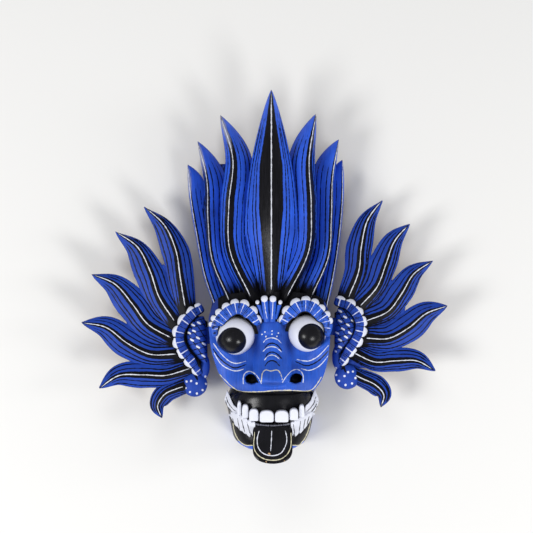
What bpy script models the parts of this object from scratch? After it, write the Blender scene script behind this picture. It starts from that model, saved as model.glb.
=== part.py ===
"""Raksha mask of carved and painted light wood, lying on its back.

One face block carries the brow, eyes, nose, mouth, tongue and a crest of seven flames. Two ears,
each a plank carved into six flames, enter slots in its sides with flat tenons.
+X is the viewer's right, +Y runs up to the tip of the crest and +Z is the way the face looks.
"""

import math

import bmesh
import bpy
import numpy as np
from mathutils import Matrix, Vector

# Driving sizes, metres
MASK_HEIGHT = 0.2935          # tip of the tongue to tip of the crest
WALL = 0.0125                 # wood left at the sides of the hollow
FRONT_WALL = 0.016            # wood left behind the face
TENON_LENGTH = 0.0105         # part of the tenon inside the face block
TENON_WIDTH = 0.0140          # along the side of the face
TENON_THICKNESS = 0.0060
TENON_CLEARANCE = 0.0004      # between a tenon and its slot, all round
EAR_GAP = 0.0022              # between an ear and the side of the face
EAR_LEAN = math.radians(8)    # the ears sweep forward
PLANK_THICKNESS = 0.0085      # wood of an ear under its carving
EDGE_THICKNESS = 0.0035       # wood at the edge of a flame
NOSTRIL_DEPTH = 0.009

# The carving is laid out in shares of the mask's height. One share is a millimetre on the real
# mask, measured from the middle of the back of the bridge of the nose.
SHARE = MASK_HEIGHT / 293.5
BELOW_BACK = -6               # forms start below the back, which one flat cut trims at zero
FACE_LEFT = 49.0              # half widths of the face at the ears
FACE_RIGHT = 48.2
MIDDLE = 2.0                  # the features stand a little to the right of the outline's middle

# Face block from crown to lip: height, left and right half widths, front, squareness of section
FACE_ROWS = (
    (56, 34, 34, 26, 2.4),
    (46, 43, 43, 38, 2.8),
    (32, 49, 48, 44, 3.4),
    (14, FACE_LEFT, FACE_RIGHT, 44, 3.6),
    (-4, 47.5, 47.5, 44, 3.2),
    (-15, 45, 46.4, 47, 2.7),
    (-25, 41.6, 44, 54, 2.4),
    (-32, 37, 41, 60, 2.3),
    (-38, 31, 36.5, 63, 2.3),
    (-41, 27, 33, 61, 2.3),
)
# Lips and gums behind the teeth
MOUTH_ROWS = (
    (-34, 30, 33, 46, 2.2),
    (-42, 33, 35.5, 53, 2.2),
    (-50, 35, 37, 53, 2.2),
    (-58, 34, 36, 52, 2.2),
    (-66, 31.5, 33.5, 50, 2.3),
    (-73, 28, 31, 46, 2.3),
)
# Lower jaw down to the chin
JAW_ROWS = (
    (-53.5, 29, 30.5, 36, 2.4),
    (-60.7, 33, 34.4, 40.3, 2.6),
    (-66, 32.4, 34.2, 44, 2.6),
    (-73, 30, 32, 46, 2.6),
    (-79, 28, 29, 46, 2.6),
    (-83.5, 23.5, 25, 43, 2.6),
    (-86.5, 16, 18.5, 38, 2.6),
)
# Nose from the bridge to the tip, over a base at NOSE_BASE
NOSE_ROWS = (
    (26, 7, 7, 46, 1.9),
    (14, 9, 9, 49, 1.8),
    (4, 11.5, 11.5, 52, 1.8),
    (-6, 13.5, 13.5, 55.5, 1.8),
    (-15, 15, 15, 60.5, 1.9),
    (-23, 15, 15, 67.5, 2.0),
    (-29, 14, 14, 72, 2.1),
    (-33.5, 12, 12, 70, 2.1),
    (-37.5, 9, 9, 62, 2.0),
)
NOSE_BASE = 39
SIDE_STRAIGHT = 12            # the sides of the block stand straight up to this height
SECTION_POINTS = 15
IN_FRONT = 80                 # cutters from the front start here, clear of the nose

EYE_RADIUS = 15.6
EYE_CENTRES = ((-26.9, 3.9, 38.8), (29.6, 5.9, 38.8))
PUPIL_RADIUS = 10.4
PUPIL_CENTRES = ((-28.7, 0.3, 46.0), (31.75, 3.9, 46.0))
PUPIL_RISE = 11.0
NOSTRIL_CENTRES = ((-14.8, -30.5, 55.5), (19.6, -30.0, 55.5))
NOSTRIL_WING = (8.0, 6.8, 9.0)
NOSTRIL_BORE = 3.1
NOSTRIL_SPREAD = 1.2          # the bores stand this far outside the middle of the wings
NOSTRIL_LIFT = 8              # of the bores' middles above those of the wings

# Brows: arcs of scallops round the eyes, from one angle to another round an ellipse
BROW_HALF = (16.0, 19.0)
BROW_TUBE = 6.0
BROW_FRONT = 46.0
BROW_RISE = 5.0
BROW_DEPTH = 14.0
BROW_SCALLOPS = 7
BROW_ARCS = (((-27.0, 7.5), 184, 20), ((29.8, 11.0), 160, -8))
SCALLOP_DEPTH = 1.6
SCALLOP_MIDDLE = 0.6          # mean of the sine along a scallop
SCALLOP_STATIONS = 2          # sections along each scallop
TUBE_CORNERS = 8
FAN_TOP = 34.0                # fan between the brows
FAN_BOTTOM = 18.0
FAN_HALF = 10.5
FAN_FRONT = 50.0
FAN_BACK = 38.0
FAN_ROUNDING = 2.5            # fall from its ribs to its edges
FAN_FOOT = 0.62               # share of its width at its foot
# Sections of the fan: share of its height, of its width there, and how far its top falls back
FAN_SECTIONS = ((0, 1.0, 0), (0.35, 1.0, 0), (0.75, 1.0, 0), (1.0, 0.85, 3))

# Teeth: middle, width, top, bottom and front of each, from corner to corner
UPPER_TEETH = (
    (-34.0, 8.0, -43.0, -60.5, 39), (-28.6, 5.2, -44.5, -59.5, 46),
    (-24.4, 4.8, -46.6, -58.5, 50), (-19.6, 5.4, -49.0, -59.8, 54),
    (-13.0, 7.6, -53.0, -61.8, 57), (-3.4, 11.4, -54.5, -63.0, 58.5),
    (8.6, 11.8, -54.5, -63.0, 58.5), (18.4, 7.6, -53.0, -61.4, 57),
    (24.8, 5.2, -49.6, -59.4, 54), (29.4, 5.2, -45.5, -58.5, 49),
    (34.8, 8.0, -41.6, -59.8, 41),
)
LOWER_TEETH = (
    (-30.4, 5.2, -57.0, -67.5, 43), (-25.8, 5.2, -59.0, -71.5, 47),
    (-21.2, 5.2, -61.0, -75.0, 50), (-16.2, 6.0, -63.0, -76.6, 52),
    (19.8, 5.4, -63.0, -76.0, 52), (24.6, 5.2, -61.0, -73.5, 50),
    (29.0, 5.0, -59.0, -70.0, 47), (33.2, 4.8, -57.0, -66.5, 42),
)
TOOTH_ROOT = 26               # height behind the teeth that their roots start from
TOOTH_ROOT_SHARE = 0.25       # a root starts this share of the way from there to the tooth's front
TOOTH_END = 0.72              # width left at the top and bottom of a tooth
TOOTH_ROUNDING = 1.6
TOOTH_TIP_FALL = 1.1          # of its front at the top and bottom
SLIT_ENDS = (-20.0, 23.5)     # the open mouth curves down from one end to the other
SLIT_HEIGHTS = (-60.0, -65.0) # at its ends and in its middle
SLIT_OPEN = 0.0024
SLIT_FLOOR = 44
SLIT_STATIONS = 9
TONGUE_HALF = 15.6
TONGUE_TOP = -63.0
TONGUE_TIP = -95.0
TONGUE_ROOT_FRONT = 52.0
TONGUE_TIP_FRONT = 61.0
TONGUE_THICKNESS = 7.5
TONGUE_ROUNDING = 10.5        # length of its round end
TONGUE_DISH = 1.2
TONGUE_EDGE = 2.5             # depth of its rounded edges
TONGUE_BACK_SHARE = 0.87      # width of its underside
TONGUE_RIM_SHARE = 0.9        # how far out the rim round its dish stands
TONGUE_STATIONS = (0, 0.22, 0.45)   # shares of its length before the round end
TONGUE_END_STATIONS = 5
TONGUE_CURL = 1.3             # above 1 it curls forward more towards its tip
TONGUE_ROUND = 2.4            # squareness of its round end
TONGUE_BLUNT = 0.985          # share of the round end where it is closed off

# Crest flames: ridge from root to tip (x, y, front), outer and inner half widths, fall of the
# edges, and the share of the length, from the tip, where the flame is widest
CREST_FLAMES = (
    (((1, 36, 44), (1, 81, 55), (1, 119.5, 56), (1, 158.5, 52), (1, 198.5, 47)),
     21, 21, 15, 0.75),
    (((-16, 36, 43), (-31.5, 71, 48), (-32.5, 107.5, 47), (-29.5, 144, 43), (-39.5, 179, 40)),
     7, 17, 13, 0.38),
    (((14, 36, 43), (30.5, 71, 48), (32.5, 107, 47), (31, 143.5, 43), (36.5, 180, 40)),
     5, 17, 13, 0.30),
    (((-33, 33, 38), (-46, 64, 37), (-49.5, 96, 34), (-50.5, 128, 32), (-58, 159, 31)),
     3, 16, 11, 0.32),
    (((33.5, 36, 38), (46.5, 66.5, 37), (49, 98, 34), (50, 129.5, 32), (55, 160.5, 31)),
     2, 16, 11, 0.24),
    (((-42.5, 24, 28), (-52.5, 52, 23), (-58.5, 81.5, 20), (-63.5, 111, 19), (-66.5, 141, 19)),
     1.5, 12, 6, 0.14),
    (((45, 25.5, 28), (51.5, 55, 23), (56, 84.5, 20), (58.5, 115, 19), (58.5, 145, 19)),
     1.5, 12, 6, 0.14),
)
CREST_CORE_ROWS = (
    (22, 43, 43, 36, 2.6),
    (44, 49, 47, 40, 2.4),
    (72, 54, 51, 38, 2.2),
    (100, 58, 54, 34, 2.2),
    (120, 56, 53, 26, 2.2),
    (132, 50, 48, 17, 2.2),
    (142, 44, 42, 12.5, 2.2),
)
CREST_LIFT_START = 0.42       # share of a flame's length where its back leaves the flat
CREST_LIFT_END = 0.75
TIP_THICKNESS = 4.8
CREST_SLOPE_START = 92        # height up the mask where the back of the crest slopes forward
CREST_SLOPE = math.radians(14)

# Ear flames, ridge from root to tip (outwards, up), half widths above and below, front of ridge.
# Each ear is measured from the middle of the tenon's shoulder.
LEFT_FLAMES = (
    (((18.5, 25), (22, 46.5), (25.5, 68.5), (34.5, 88.5), (50.5, 103.5)), 13.5, 9.5),
    (((27.5, 13), (39, 31), (46, 51.5), (56, 71), (73.5, 83.5)), 14.0, 11.0),
    (((30.5, -1), (48, 9.5), (60.5, 26), (74, 41.5), (92.5, 49.5)), 15.0, 12.0),
    (((26, -14.5), (46, -14.5), (64.5, -5.5), (81, 7), (100.5, 11)), 13.0, 13.5),
    (((15.5, -26.5), (33.5, -31.5), (52, -31), (71, -31.5), (86.5, -41.5)), 11.0, 12.5),
    (((13.0, -39), (23.0, -42.5), (32.5, -46.5), (37.5, -55), (36, -65.5)), 7.0, 10.0),
)
RIGHT_FLAMES = (
    (((13, 25), (20, 44.5), (22, 65), (26, 85.5), (39.5, 101)), 14.0, 10.0),
    (((23, 17.5), (35.5, 32), (42.5, 50), (49, 68.5), (62, 82.5)), 14.5, 9.5),
    (((28.5, 5), (45.5, 12.5), (56.5, 27), (66, 42.5), (81, 53)), 14.0, 9.5),
    (((28.5, -9), (46, -9), (62, -0.5), (76, 11), (92.5, 17)), 13.0, 13.0),
    (((19.5, -21.5), (35, -28), (51.5, -27), (68.5, -27), (83, -35)), 10.5, 10.0),
    (((13.0, -35.5), (23.0, -40.0), (34.0, -45), (39.5, -54), (39, -63)), 6.5, 11.5),
)
# Notches between neighbouring ear flames, where the web of the plank ends
LEFT_WEB = ((38.4, 63.2), (57.4, 40.8), (71.5, 16.0), (66.3, -19.2), (41.2, -40.8))
RIGHT_WEB = ((32.3, 65.6), (50.9, 44.8), (65.4, 22.4), (62.2, -16.0), (43.6, -37.6))
WEB_FRONT = 1.2               # the web lies this far below the edges of the flames
FLAME_FALL = 5.0              # from the ridge to the edges of an ear flame
FLAME_RISE = 4.5              # of a ridge above the plank
EAR_FLAME_WIDEST = 0.5        # share of a flame's length, from its tip, where it is widest
TIP_ROUNDING = 0.8            # below 1 a flame's tip is rounder
ROOT_WIDTH = 0.85             # width left at the root
FLAME_STATIONS = 8
FLAME_BACK_SHARE = 0.7        # width of a flame's back
FLANK_RISE = 0.62             # share of the fall that is left half way down a flank
TIP_FALL = 0.3                # share of the fall that is left at the tip
EAR_HEIGHTS = (3.2, 10.4)      # of the tenons, left and right
EAR_FRONT = 17                # height of the middle of an ear's plank at its tenon
EAR_HALF = (20.5, 26.0)       # the C-shaped band round the ear
EAR_CENTRE = (4.6, -1.5)
EAR_INNER_EDGE = (4.0, -0.8)  # where the plank's inner edge starts above and ends below
EAR_BODY_RISE = 2.4           # of the plank under the band above the rest
EAR_BODY_MARGIN = 5.4         # it reaches this far beyond the middle of the band
EAR_BODY_STEPS = 13
EAR_BAND_ENDS = (84, -84)     # degrees
EAR_BAND_LIFT = 2.0           # of the band's middle above the plank
EAR_BAND_TUBE = 4.6
EAR_BAND_RISE = 4.0
EAR_BAND_DEPTH = 4.0
EAR_BAND_SCALLOPS = 9
EAR_INNER_CENTRE = (7.6, -2.5)
EAR_INNER_HALF = (7.8, 19.0)
EAR_INNER_RISE = 5.5
LOBE_CENTRE = (9.6, -39.2)
LOBE_RADIUS = 10.2
LOBE_RISE = 6.5
LOBE_SINK = 2.0               # of its middle below the front of the plank
EAR_BALL_MESH = (14, 7)       # segments and rings of the lobe and the inner oval
TIP_DROP = 3.0                # of an ear flame's ridge from root to tip
WEB_RECESS = 0.5              # of the web's back
WEB_KNOTS = slice(1, 3)       # points of the outer flames' ridges that the web reaches
TENON_ROOT = 0.006            # length of the tenon inside the ear


def new_collection(name):
    """Make a collection and link it to the scene."""
    collection = bpy.data.collections.new(name)
    bpy.context.scene.collection.children.link(collection)
    return collection


def paint(name, colour, roughness):
    """Make a painted-wood material."""
    material = bpy.data.materials.new(name)
    material.use_nodes = True
    shader = material.node_tree.nodes["Principled BSDF"]
    shader.inputs["Base Color"].default_value = (*colour, 1)
    shader.inputs["Roughness"].default_value = roughness
    shader.inputs["Metallic"].default_value = 0
    return material


def object_from(bm, name, collection):
    """Close a bmesh into an object with its faces pointing out."""
    bmesh.ops.recalc_face_normals(bm, faces=bm.faces)
    mesh = bpy.data.meshes.new(name)
    bm.to_mesh(mesh)
    bm.free()
    new = bpy.data.objects.new(name, mesh)
    collection.objects.link(new)
    return new


def cutter_look(thing):
    """Show a guide or cutter as wire, and keep it out of renders."""
    thing.hide_render = True
    thing.display_type = "WIRE"


def loft(name, rings, collection, apex=None):
    """Skin closed rings of equal count and close both ends, the far end on an apex if given."""
    bm = bmesh.new()
    rows = [[bm.verts.new(point) for point in ring] for ring in rings]
    count = len(rows[0])
    for first, second in zip(rows, rows[1:]):
        for k in range(count):
            after = (k + 1) % count
            bm.faces.new((first[k], first[after], second[after], second[k]))
    bm.faces.new(rows[0])
    if apex is None:
        bm.faces.new(rows[-1])
    else:
        tip = bm.verts.new(apex)
        for k in range(count):
            bm.faces.new((rows[-1][k], rows[-1][(k + 1) % count], tip))
    bmesh.ops.triangulate(bm, faces=[face for face in bm.faces if len(face.verts) > 4])
    return object_from(bm, name, collection)


def smooth_path(points, count):
    """Even points of a Catmull-Rom curve through the given points."""
    knots = np.array(points, float)
    padded = np.vstack([2 * knots[0] - knots[1], knots, 2 * knots[-1] - knots[-2]])
    place = np.linspace(0, len(knots) - 1, count)
    span = np.minimum(place.astype(int), len(knots) - 2)
    t = (place - span)[:, None]
    a, b, c, d = (padded[span + k] for k in range(4))
    return 0.5 * (2 * b + (c - a) * t + (2 * a - 5 * b + 4 * c - d) * t ** 2
                  + (3 * b - a - 3 * c + d) * t ** 3)


def arch(y, left, right, front, power, middle=0.0, base=SIDE_STRAIGHT):
    """Section across the mask: straight sides up to a base, then a superellipse over the front."""
    turn = np.linspace(math.pi, 0, SECTION_POINTS)
    cosine, sine = np.cos(turn), np.sin(turn)
    half = np.where(cosine < 0, left, right)
    x = middle + half * np.sign(cosine) * np.abs(cosine) ** (2 / power)
    z = base + (front - base) * np.abs(sine) ** (2 / power)
    ring = [(middle - left, y, BELOW_BACK)]
    ring += list(zip(x, np.full_like(x, y), z))
    ring += [(middle + right, y, BELOW_BACK)]
    return np.array(ring) * SHARE


def arched_block(name, rows, collection, middle=0.0, base=SIDE_STRAIGHT):
    """Loft a block from rows of y, left, right, front and squareness."""
    return loft(name, [arch(*row, middle=middle, base=base) for row in rows], collection)


def flame_width(along, widest):
    """Share of a flame's full width, along being 0 at its root and 1 at its tip."""
    swell = math.sin(math.pi / 2 * min(1, (1 - along) / widest)) ** TIP_ROUNDING
    waist = ROOT_WIDTH + (1 - ROOT_WIDTH) * min(1, along / (1 - widest))
    return swell * waist


def flame(name, ridge, halves, fall, widest, back, collection):
    """Loft a flame under its ridge.

    The section is a ridge between two rounded flanks that end in edges, with a narrower back.
    halves are the widths left and right of the way the flame grows, back gives the height of
    its back from the share of its length and the height of its edge. widest is the share of its
    length, from its tip, where it reaches its full width.
    """
    path = smooth_path(ridge, FLAME_STATIONS + 1)
    heading = np.gradient(path[:, :2], axis=0)
    heading /= np.linalg.norm(heading, axis=1)[:, None]
    rings = []
    for k in range(FLAME_STATIONS):
        along = k / FLAME_STATIONS
        x, y, z = path[k]
        side = np.array((-heading[k, 1], heading[k, 0]))
        width = flame_width(along, widest)
        edge = z - fall * width ** 0.5
        low = back(along, edge)
        flank = edge + FLANK_RISE * (z - edge)
        left, right = (half * width for half in halves)
        section = ((left * FLAME_BACK_SHARE, low), (left, edge), (left / 2, flank), (0, z),
                   (-right / 2, flank), (-right, edge), (-right * FLAME_BACK_SHARE, low))
        rings.append([(x + side[0] * out, y + side[1] * out, high) for out, high in section])
    tip_z = path[-1, 2] - fall * TIP_FALL
    return loft(name, np.array(rings) * SHARE, collection,
                apex=np.array((path[-1, 0], path[-1, 1], tip_z)) * SHARE)


def lobed_tube(name, centre, halves, turn, front, tube, rise, depth, scallops, collection):
    """Bent rod round an ellipse, its outer side in scallops, with closed ends.

    The outer side swells and narrows with the sine along each scallop, round its middle reach.
    """
    stations = scallops * SCALLOP_STATIONS + 1
    rings = []
    for k in range(stations):
        share = k / (stations - 1)
        angle = math.radians(turn[0] + (turn[1] - turn[0]) * share)
        out = np.array((math.cos(angle), math.sin(angle)))
        at = np.array(centre) + out * np.array(halves)
        lobe = abs(math.sin(math.pi * scallops * share)) - SCALLOP_MIDDLE
        ring = []
        for corner in range(TUBE_CORNERS):
            bend = 2 * math.pi * corner / TUBE_CORNERS
            reach = tube * math.cos(bend)
            if math.cos(bend) > 0.5:
                reach += SCALLOP_DEPTH * lobe
            high = rise if math.sin(bend) > 0 else depth
            ring.append((at[0] + out[0] * reach, at[1] + out[1] * reach,
                         front + high * math.sin(bend)))
        rings.append(ring)
    return loft(name, np.array(rings) * SHARE, collection)


def ball(name, centre, radii, collection, segments=16, rings=10):
    """Ball or flattened ball, given in shares."""
    bm = bmesh.new()
    bmesh.ops.create_uvsphere(bm, u_segments=segments, v_segments=rings, radius=1)
    bmesh.ops.scale(bm, vec=np.array(radii) * SHARE, verts=bm.verts)
    bmesh.ops.translate(bm, vec=np.array(centre) * SHARE, verts=bm.verts)
    return object_from(bm, name, collection)


def box(name, low, high, collection):
    """Box between two corners, in metres."""
    low, high = np.array(low), np.array(high)
    bm = bmesh.new()
    bmesh.ops.create_cube(bm, size=1)
    bmesh.ops.scale(bm, vec=high - low, verts=bm.verts)
    bmesh.ops.translate(bm, vec=(low + high) / 2, verts=bm.verts)
    return object_from(bm, name, collection)


def mouth_slit(name, collection):
    """Curved slot of the open mouth, cut in from the front."""
    rings = []
    for x in np.linspace(*SLIT_ENDS, SLIT_STATIONS):
        share = (x - SLIT_ENDS[0]) / (SLIT_ENDS[1] - SLIT_ENDS[0])
        bow = 4 * share * (1 - share)
        y = SLIT_HEIGHTS[0] + (SLIT_HEIGHTS[1] - SLIT_HEIGHTS[0]) * bow
        half = SLIT_OPEN / SHARE / 2
        rings.append([(x, y - half, SLIT_FLOOR), (x, y + half, SLIT_FLOOR),
                      (x, y + half, IN_FRONT), (x, y - half, IN_FRONT)])
    return loft(name, np.array(rings) * SHARE, collection)


def tooth(name, x, width, top, bottom, front, collection):
    """Rounded tooth between two heights, less deep towards the corners of the mouth."""
    rings = []
    root = TOOTH_ROOT + (front - TOOTH_ROOT) * TOOTH_ROOT_SHARE
    for y, share, fall in ((top, TOOTH_END, TOOTH_TIP_FALL), (top - TOOTH_ROUNDING, 1, 0),
                           (bottom + TOOTH_ROUNDING, 1, 0), (bottom, TOOTH_END, TOOTH_TIP_FALL)):
        half = width / 2 * share
        bow = front - fall
        rings.append([(x - half, y, root), (x - half, y, bow - TOOTH_ROUNDING), (x, y, bow),
                      (x + half, y, bow - TOOTH_ROUNDING), (x + half, y, root)])
    return loft(name, np.array(rings) * SHARE, collection)


def tongue(name, collection):
    """Tongue that hangs out over the chin and curls forward, round at its tip."""
    rings = []
    length = TONGUE_TOP - TONGUE_TIP
    straight = 1 - TONGUE_ROUNDING / length
    end = np.sin(np.linspace(0, math.pi / 2, TONGUE_END_STATIONS + 1))
    for share in (*TONGUE_STATIONS, *(straight + (1 - straight) * end)):
        y = TONGUE_TOP - length * share
        front = TONGUE_ROOT_FRONT + (TONGUE_TIP_FRONT - TONGUE_ROOT_FRONT) * share ** TONGUE_CURL
        past = min(TONGUE_BLUNT, max(0.0, (share - straight) / (1 - straight)))
        half = TONGUE_HALF * (1 - past ** TONGUE_ROUND) ** (1 / TONGUE_ROUND)
        foot, rim = half * TONGUE_BACK_SHARE, half * TONGUE_RIM_SHARE
        back, edge = front - TONGUE_THICKNESS, front - TONGUE_EDGE
        section = ((-foot, back), (-half, edge), (-rim, front), (0, front - TONGUE_DISH),
                   (rim, front), (half, edge), (foot, back))
        rings.append([(MIDDLE + x, y, z) for x, z in section])
    return loft(name, np.array(rings) * SHARE, collection)


def brow_fan(name, collection):
    """Fan of three ribs between the brows, narrow below."""
    rings = []
    for share, width, fall in FAN_SECTIONS:
        y = FAN_BOTTOM + (FAN_TOP - FAN_BOTTOM) * share
        half = FAN_HALF * (FAN_FOOT + (1 - FAN_FOOT) * share) * width
        front = FAN_FRONT - fall
        edge = front - FAN_ROUNDING
        section = ((-half, FAN_BACK), (-half, edge), (-half / 2, front), (half / 2, front),
                   (half, edge), (half, FAN_BACK))
        rings.append([(MIDDLE + x, y, z) for x, z in section])
    return loft(name, np.array(rings) * SHARE, collection)


def add_boolean(target, operation, collection):
    """Join or cut with everything in a collection."""
    change = target.modifiers.new(operation.title(), "BOOLEAN")
    change.operation = operation
    change.operand_type = "COLLECTION"
    change.collection = collection
    change.solver = "EXACT"


def crest_back(along, edge):
    """Back of a crest flame: flat below, then lifting towards a thin tip."""
    share = min(1.0, max(0.0, (along - CREST_LIFT_START) / (CREST_LIFT_END - CREST_LIFT_START)))
    lift = share * share * (3 - 2 * share)
    return BELOW_BACK + (edge - TIP_THICKNESS - BELOW_BACK) * lift


def shaped_like(rows, less_side, less_front):
    """Rows of a smaller form inside another."""
    return tuple((y, left - less_side, right - less_side, front - less_front, power)
                 for y, left, right, front, power in rows)


def face_block(collection, forms, hollows):
    """Carve the face with its crest, hollowed behind."""
    face = arched_block("mask_face", FACE_ROWS, collection)
    arched_block("mouth", MOUTH_ROWS, forms)
    arched_block("jaw", JAW_ROWS, forms)
    arched_block("nose", NOSE_ROWS, forms, middle=MIDDLE, base=NOSE_BASE)
    arched_block("crest_core", CREST_CORE_ROWS, forms)
    for k, (centre, pupil) in enumerate(zip(EYE_CENTRES, PUPIL_CENTRES)):
        ball(f"eye_{k}", centre, (EYE_RADIUS,) * 3, forms)
        ball(f"pupil_{k}", pupil, (PUPIL_RADIUS, PUPIL_RADIUS, PUPIL_RISE), forms, rings=8)
    for k, (centre, start, end) in enumerate(BROW_ARCS):
        lobed_tube(f"brow_{k}", centre, BROW_HALF, (start, end), BROW_FRONT, BROW_TUBE, BROW_RISE,
                   BROW_DEPTH, BROW_SCALLOPS, forms)
    brow_fan("brow_fan", forms)
    for k, centre in enumerate(NOSTRIL_CENTRES):
        ball(f"nostril_wing_{k}", centre, NOSTRIL_WING, forms, 14, 8)
    for k, sizes in enumerate(UPPER_TEETH + LOWER_TEETH):
        tooth(f"tooth_{k}", *sizes, forms)
    tongue("tongue", forms)
    for k, (ridge, outer, inner, fall, widest) in enumerate(CREST_FLAMES):
        halves = (outer, inner) if ridge[0][0] < 0 else (inner, outer)
        flame(f"crest_flame_{k}", ridge, halves, fall, widest, crest_back, forms)

    inside = shaped_like(FACE_ROWS[1:-1], WALL / SHARE, FRONT_WALL / SHARE)
    arched_block("hollow", inside, hollows)
    for k, (x, y, z) in enumerate(NOSTRIL_CENTRES):
        side = math.copysign(NOSTRIL_SPREAD, x - MIDDLE)
        ball(f"nostril_{k}", (x + side, y, z + NOSTRIL_LIFT),
             (NOSTRIL_BORE, NOSTRIL_BORE, NOSTRIL_DEPTH / SHARE), hollows, 12, 8)
    mouth_slit("mouth_slit", hollows)
    reach = 2 * MASK_HEIGHT
    box("back_cut", (-reach, -reach, -reach), (reach, reach, 0), hollows)
    slope = box("crest_back_cut", (-reach, 0, -reach), (reach, reach, 0), hollows)
    slope.location.y = CREST_SLOPE_START * SHARE
    slope.rotation_euler.x = CREST_SLOPE
    return face


def ear_flames(flames):
    """Give each ridge of an ear its height: level at the root, a little lower at the tip."""
    plank_front = PLANK_THICKNESS / 2 / SHARE
    raised = []
    for ridge, above, below in flames:
        top = plank_front + FLAME_RISE
        front = np.linspace(top, top - TIP_DROP, len(ridge))
        raised.append((tuple((x, y, z) for (x, y), z in zip(ridge, front)), above, below))
    return raised


def plank_back(_along, edge):
    """Back of an ear flame, thinning to its edge."""
    return min(-PLANK_THICKNESS / 2 / SHARE, edge - EDGE_THICKNESS / SHARE)


def ear_web(name, flames, notches, collection):
    """Flat web of the plank that joins the flames as far as the notches between them.

    It starts under the ridge of the first flame and ends under those of the last and the lobe.
    """
    plank_half = PLANK_THICKNESS / 2 / SHARE
    outline = [*flames[0][0][WEB_KNOTS], *notches, *reversed(flames[-1][0][WEB_KNOTS]),
               LOBE_CENTRE, EAR_CENTRE]
    front = plank_half + FLAME_RISE - FLAME_FALL - WEB_FRONT
    rings = [[(x, y, z) for x, y in outline] for z in (-plank_half + WEB_RECESS, front)]
    return loft(name, np.array(rings) * SHARE, collection)


def ear(name, flames, notches, collection, forms):
    """Carve an ear, its outward direction along +X before it is set on its side."""
    plank_half = PLANK_THICKNESS / 2 / SHARE
    steps = np.radians(np.linspace(-90, 90, EAR_BODY_STEPS))
    reach = np.array(EAR_HALF) + EAR_BODY_MARGIN
    outline = [(EAR_CENTRE[0] + reach[0] * math.cos(a), EAR_CENTRE[1] + reach[1] * math.sin(a))
               for a in steps]
    outline += [(EAR_INNER_EDGE[0], outline[-1][1]), (EAR_INNER_EDGE[1], outline[0][1])]
    rings = [[(x, y, z) for x, y in outline] for z in (-plank_half, plank_half + EAR_BODY_RISE)]
    body = loft(name, np.array(rings) * SHARE, collection)
    for k, (ridge, above, below) in enumerate(ear_flames(flames)):
        flame(f"{name}_flame_{k}", ridge, (above, below), FLAME_FALL, EAR_FLAME_WIDEST, plank_back,
              forms)
    ear_web(f"{name}_web", flames, notches, forms)
    lobed_tube(f"{name}_band", EAR_CENTRE, EAR_HALF, EAR_BAND_ENDS, plank_half + EAR_BAND_LIFT,
               EAR_BAND_TUBE, EAR_BAND_RISE, EAR_BAND_DEPTH, EAR_BAND_SCALLOPS, forms)
    ball(f"{name}_inner", (*EAR_INNER_CENTRE, plank_half), (*EAR_INNER_HALF, EAR_INNER_RISE),
         forms, *EAR_BALL_MESH)
    ball(f"{name}_lobe", (*LOBE_CENTRE, plank_half - LOBE_SINK),
         (LOBE_RADIUS, LOBE_RADIUS, LOBE_RISE), forms, *EAR_BALL_MESH)
    box(f"{name}_tenon", (-EAR_GAP - TENON_LENGTH, -TENON_WIDTH / 2, -TENON_THICKNESS / 2),
        (TENON_ROOT, TENON_WIDTH / 2, TENON_THICKNESS / 2), forms)
    return body


def place_ear(thing, side, anchor):
    """Mirror a piece of an ear to its side, lean it forward and set it at its shoulder."""
    if side < 0:
        thing.data.transform(Matrix.Diagonal((-1, 1, 1, 1)))
        thing.data.flip_normals()
    thing.location = anchor
    thing.rotation_euler = (0, -side * EAR_LEAN, 0)


def ear_slot(name, collection):
    """Slot for a tenon, measured from the tenon's shoulder."""
    reach = EAR_GAP + TENON_LENGTH + TENON_CLEARANCE
    half_width = TENON_WIDTH / 2 + TENON_CLEARANCE
    half_thickness = TENON_THICKNESS / 2 + TENON_CLEARANCE
    return box(name, (-reach, -half_width, -half_thickness), (EAR_GAP, half_width, half_thickness),
               collection)


def bottom_centre(things):
    """Middle of the underside of the box round the finished pieces."""
    bpy.context.view_layer.update()
    depsgraph = bpy.context.evaluated_depsgraph_get()
    corners = []
    for thing in things:
        finished = thing.evaluated_get(depsgraph)
        corners += [finished.matrix_world @ vertex.co for vertex in finished.data.vertices]
    corners = np.array(corners)
    low, high = corners.min(axis=0), corners.max(axis=0)
    return Vector(((low[0] + high[0]) / 2, (low[1] + high[1]) / 2, low[2]))


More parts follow.
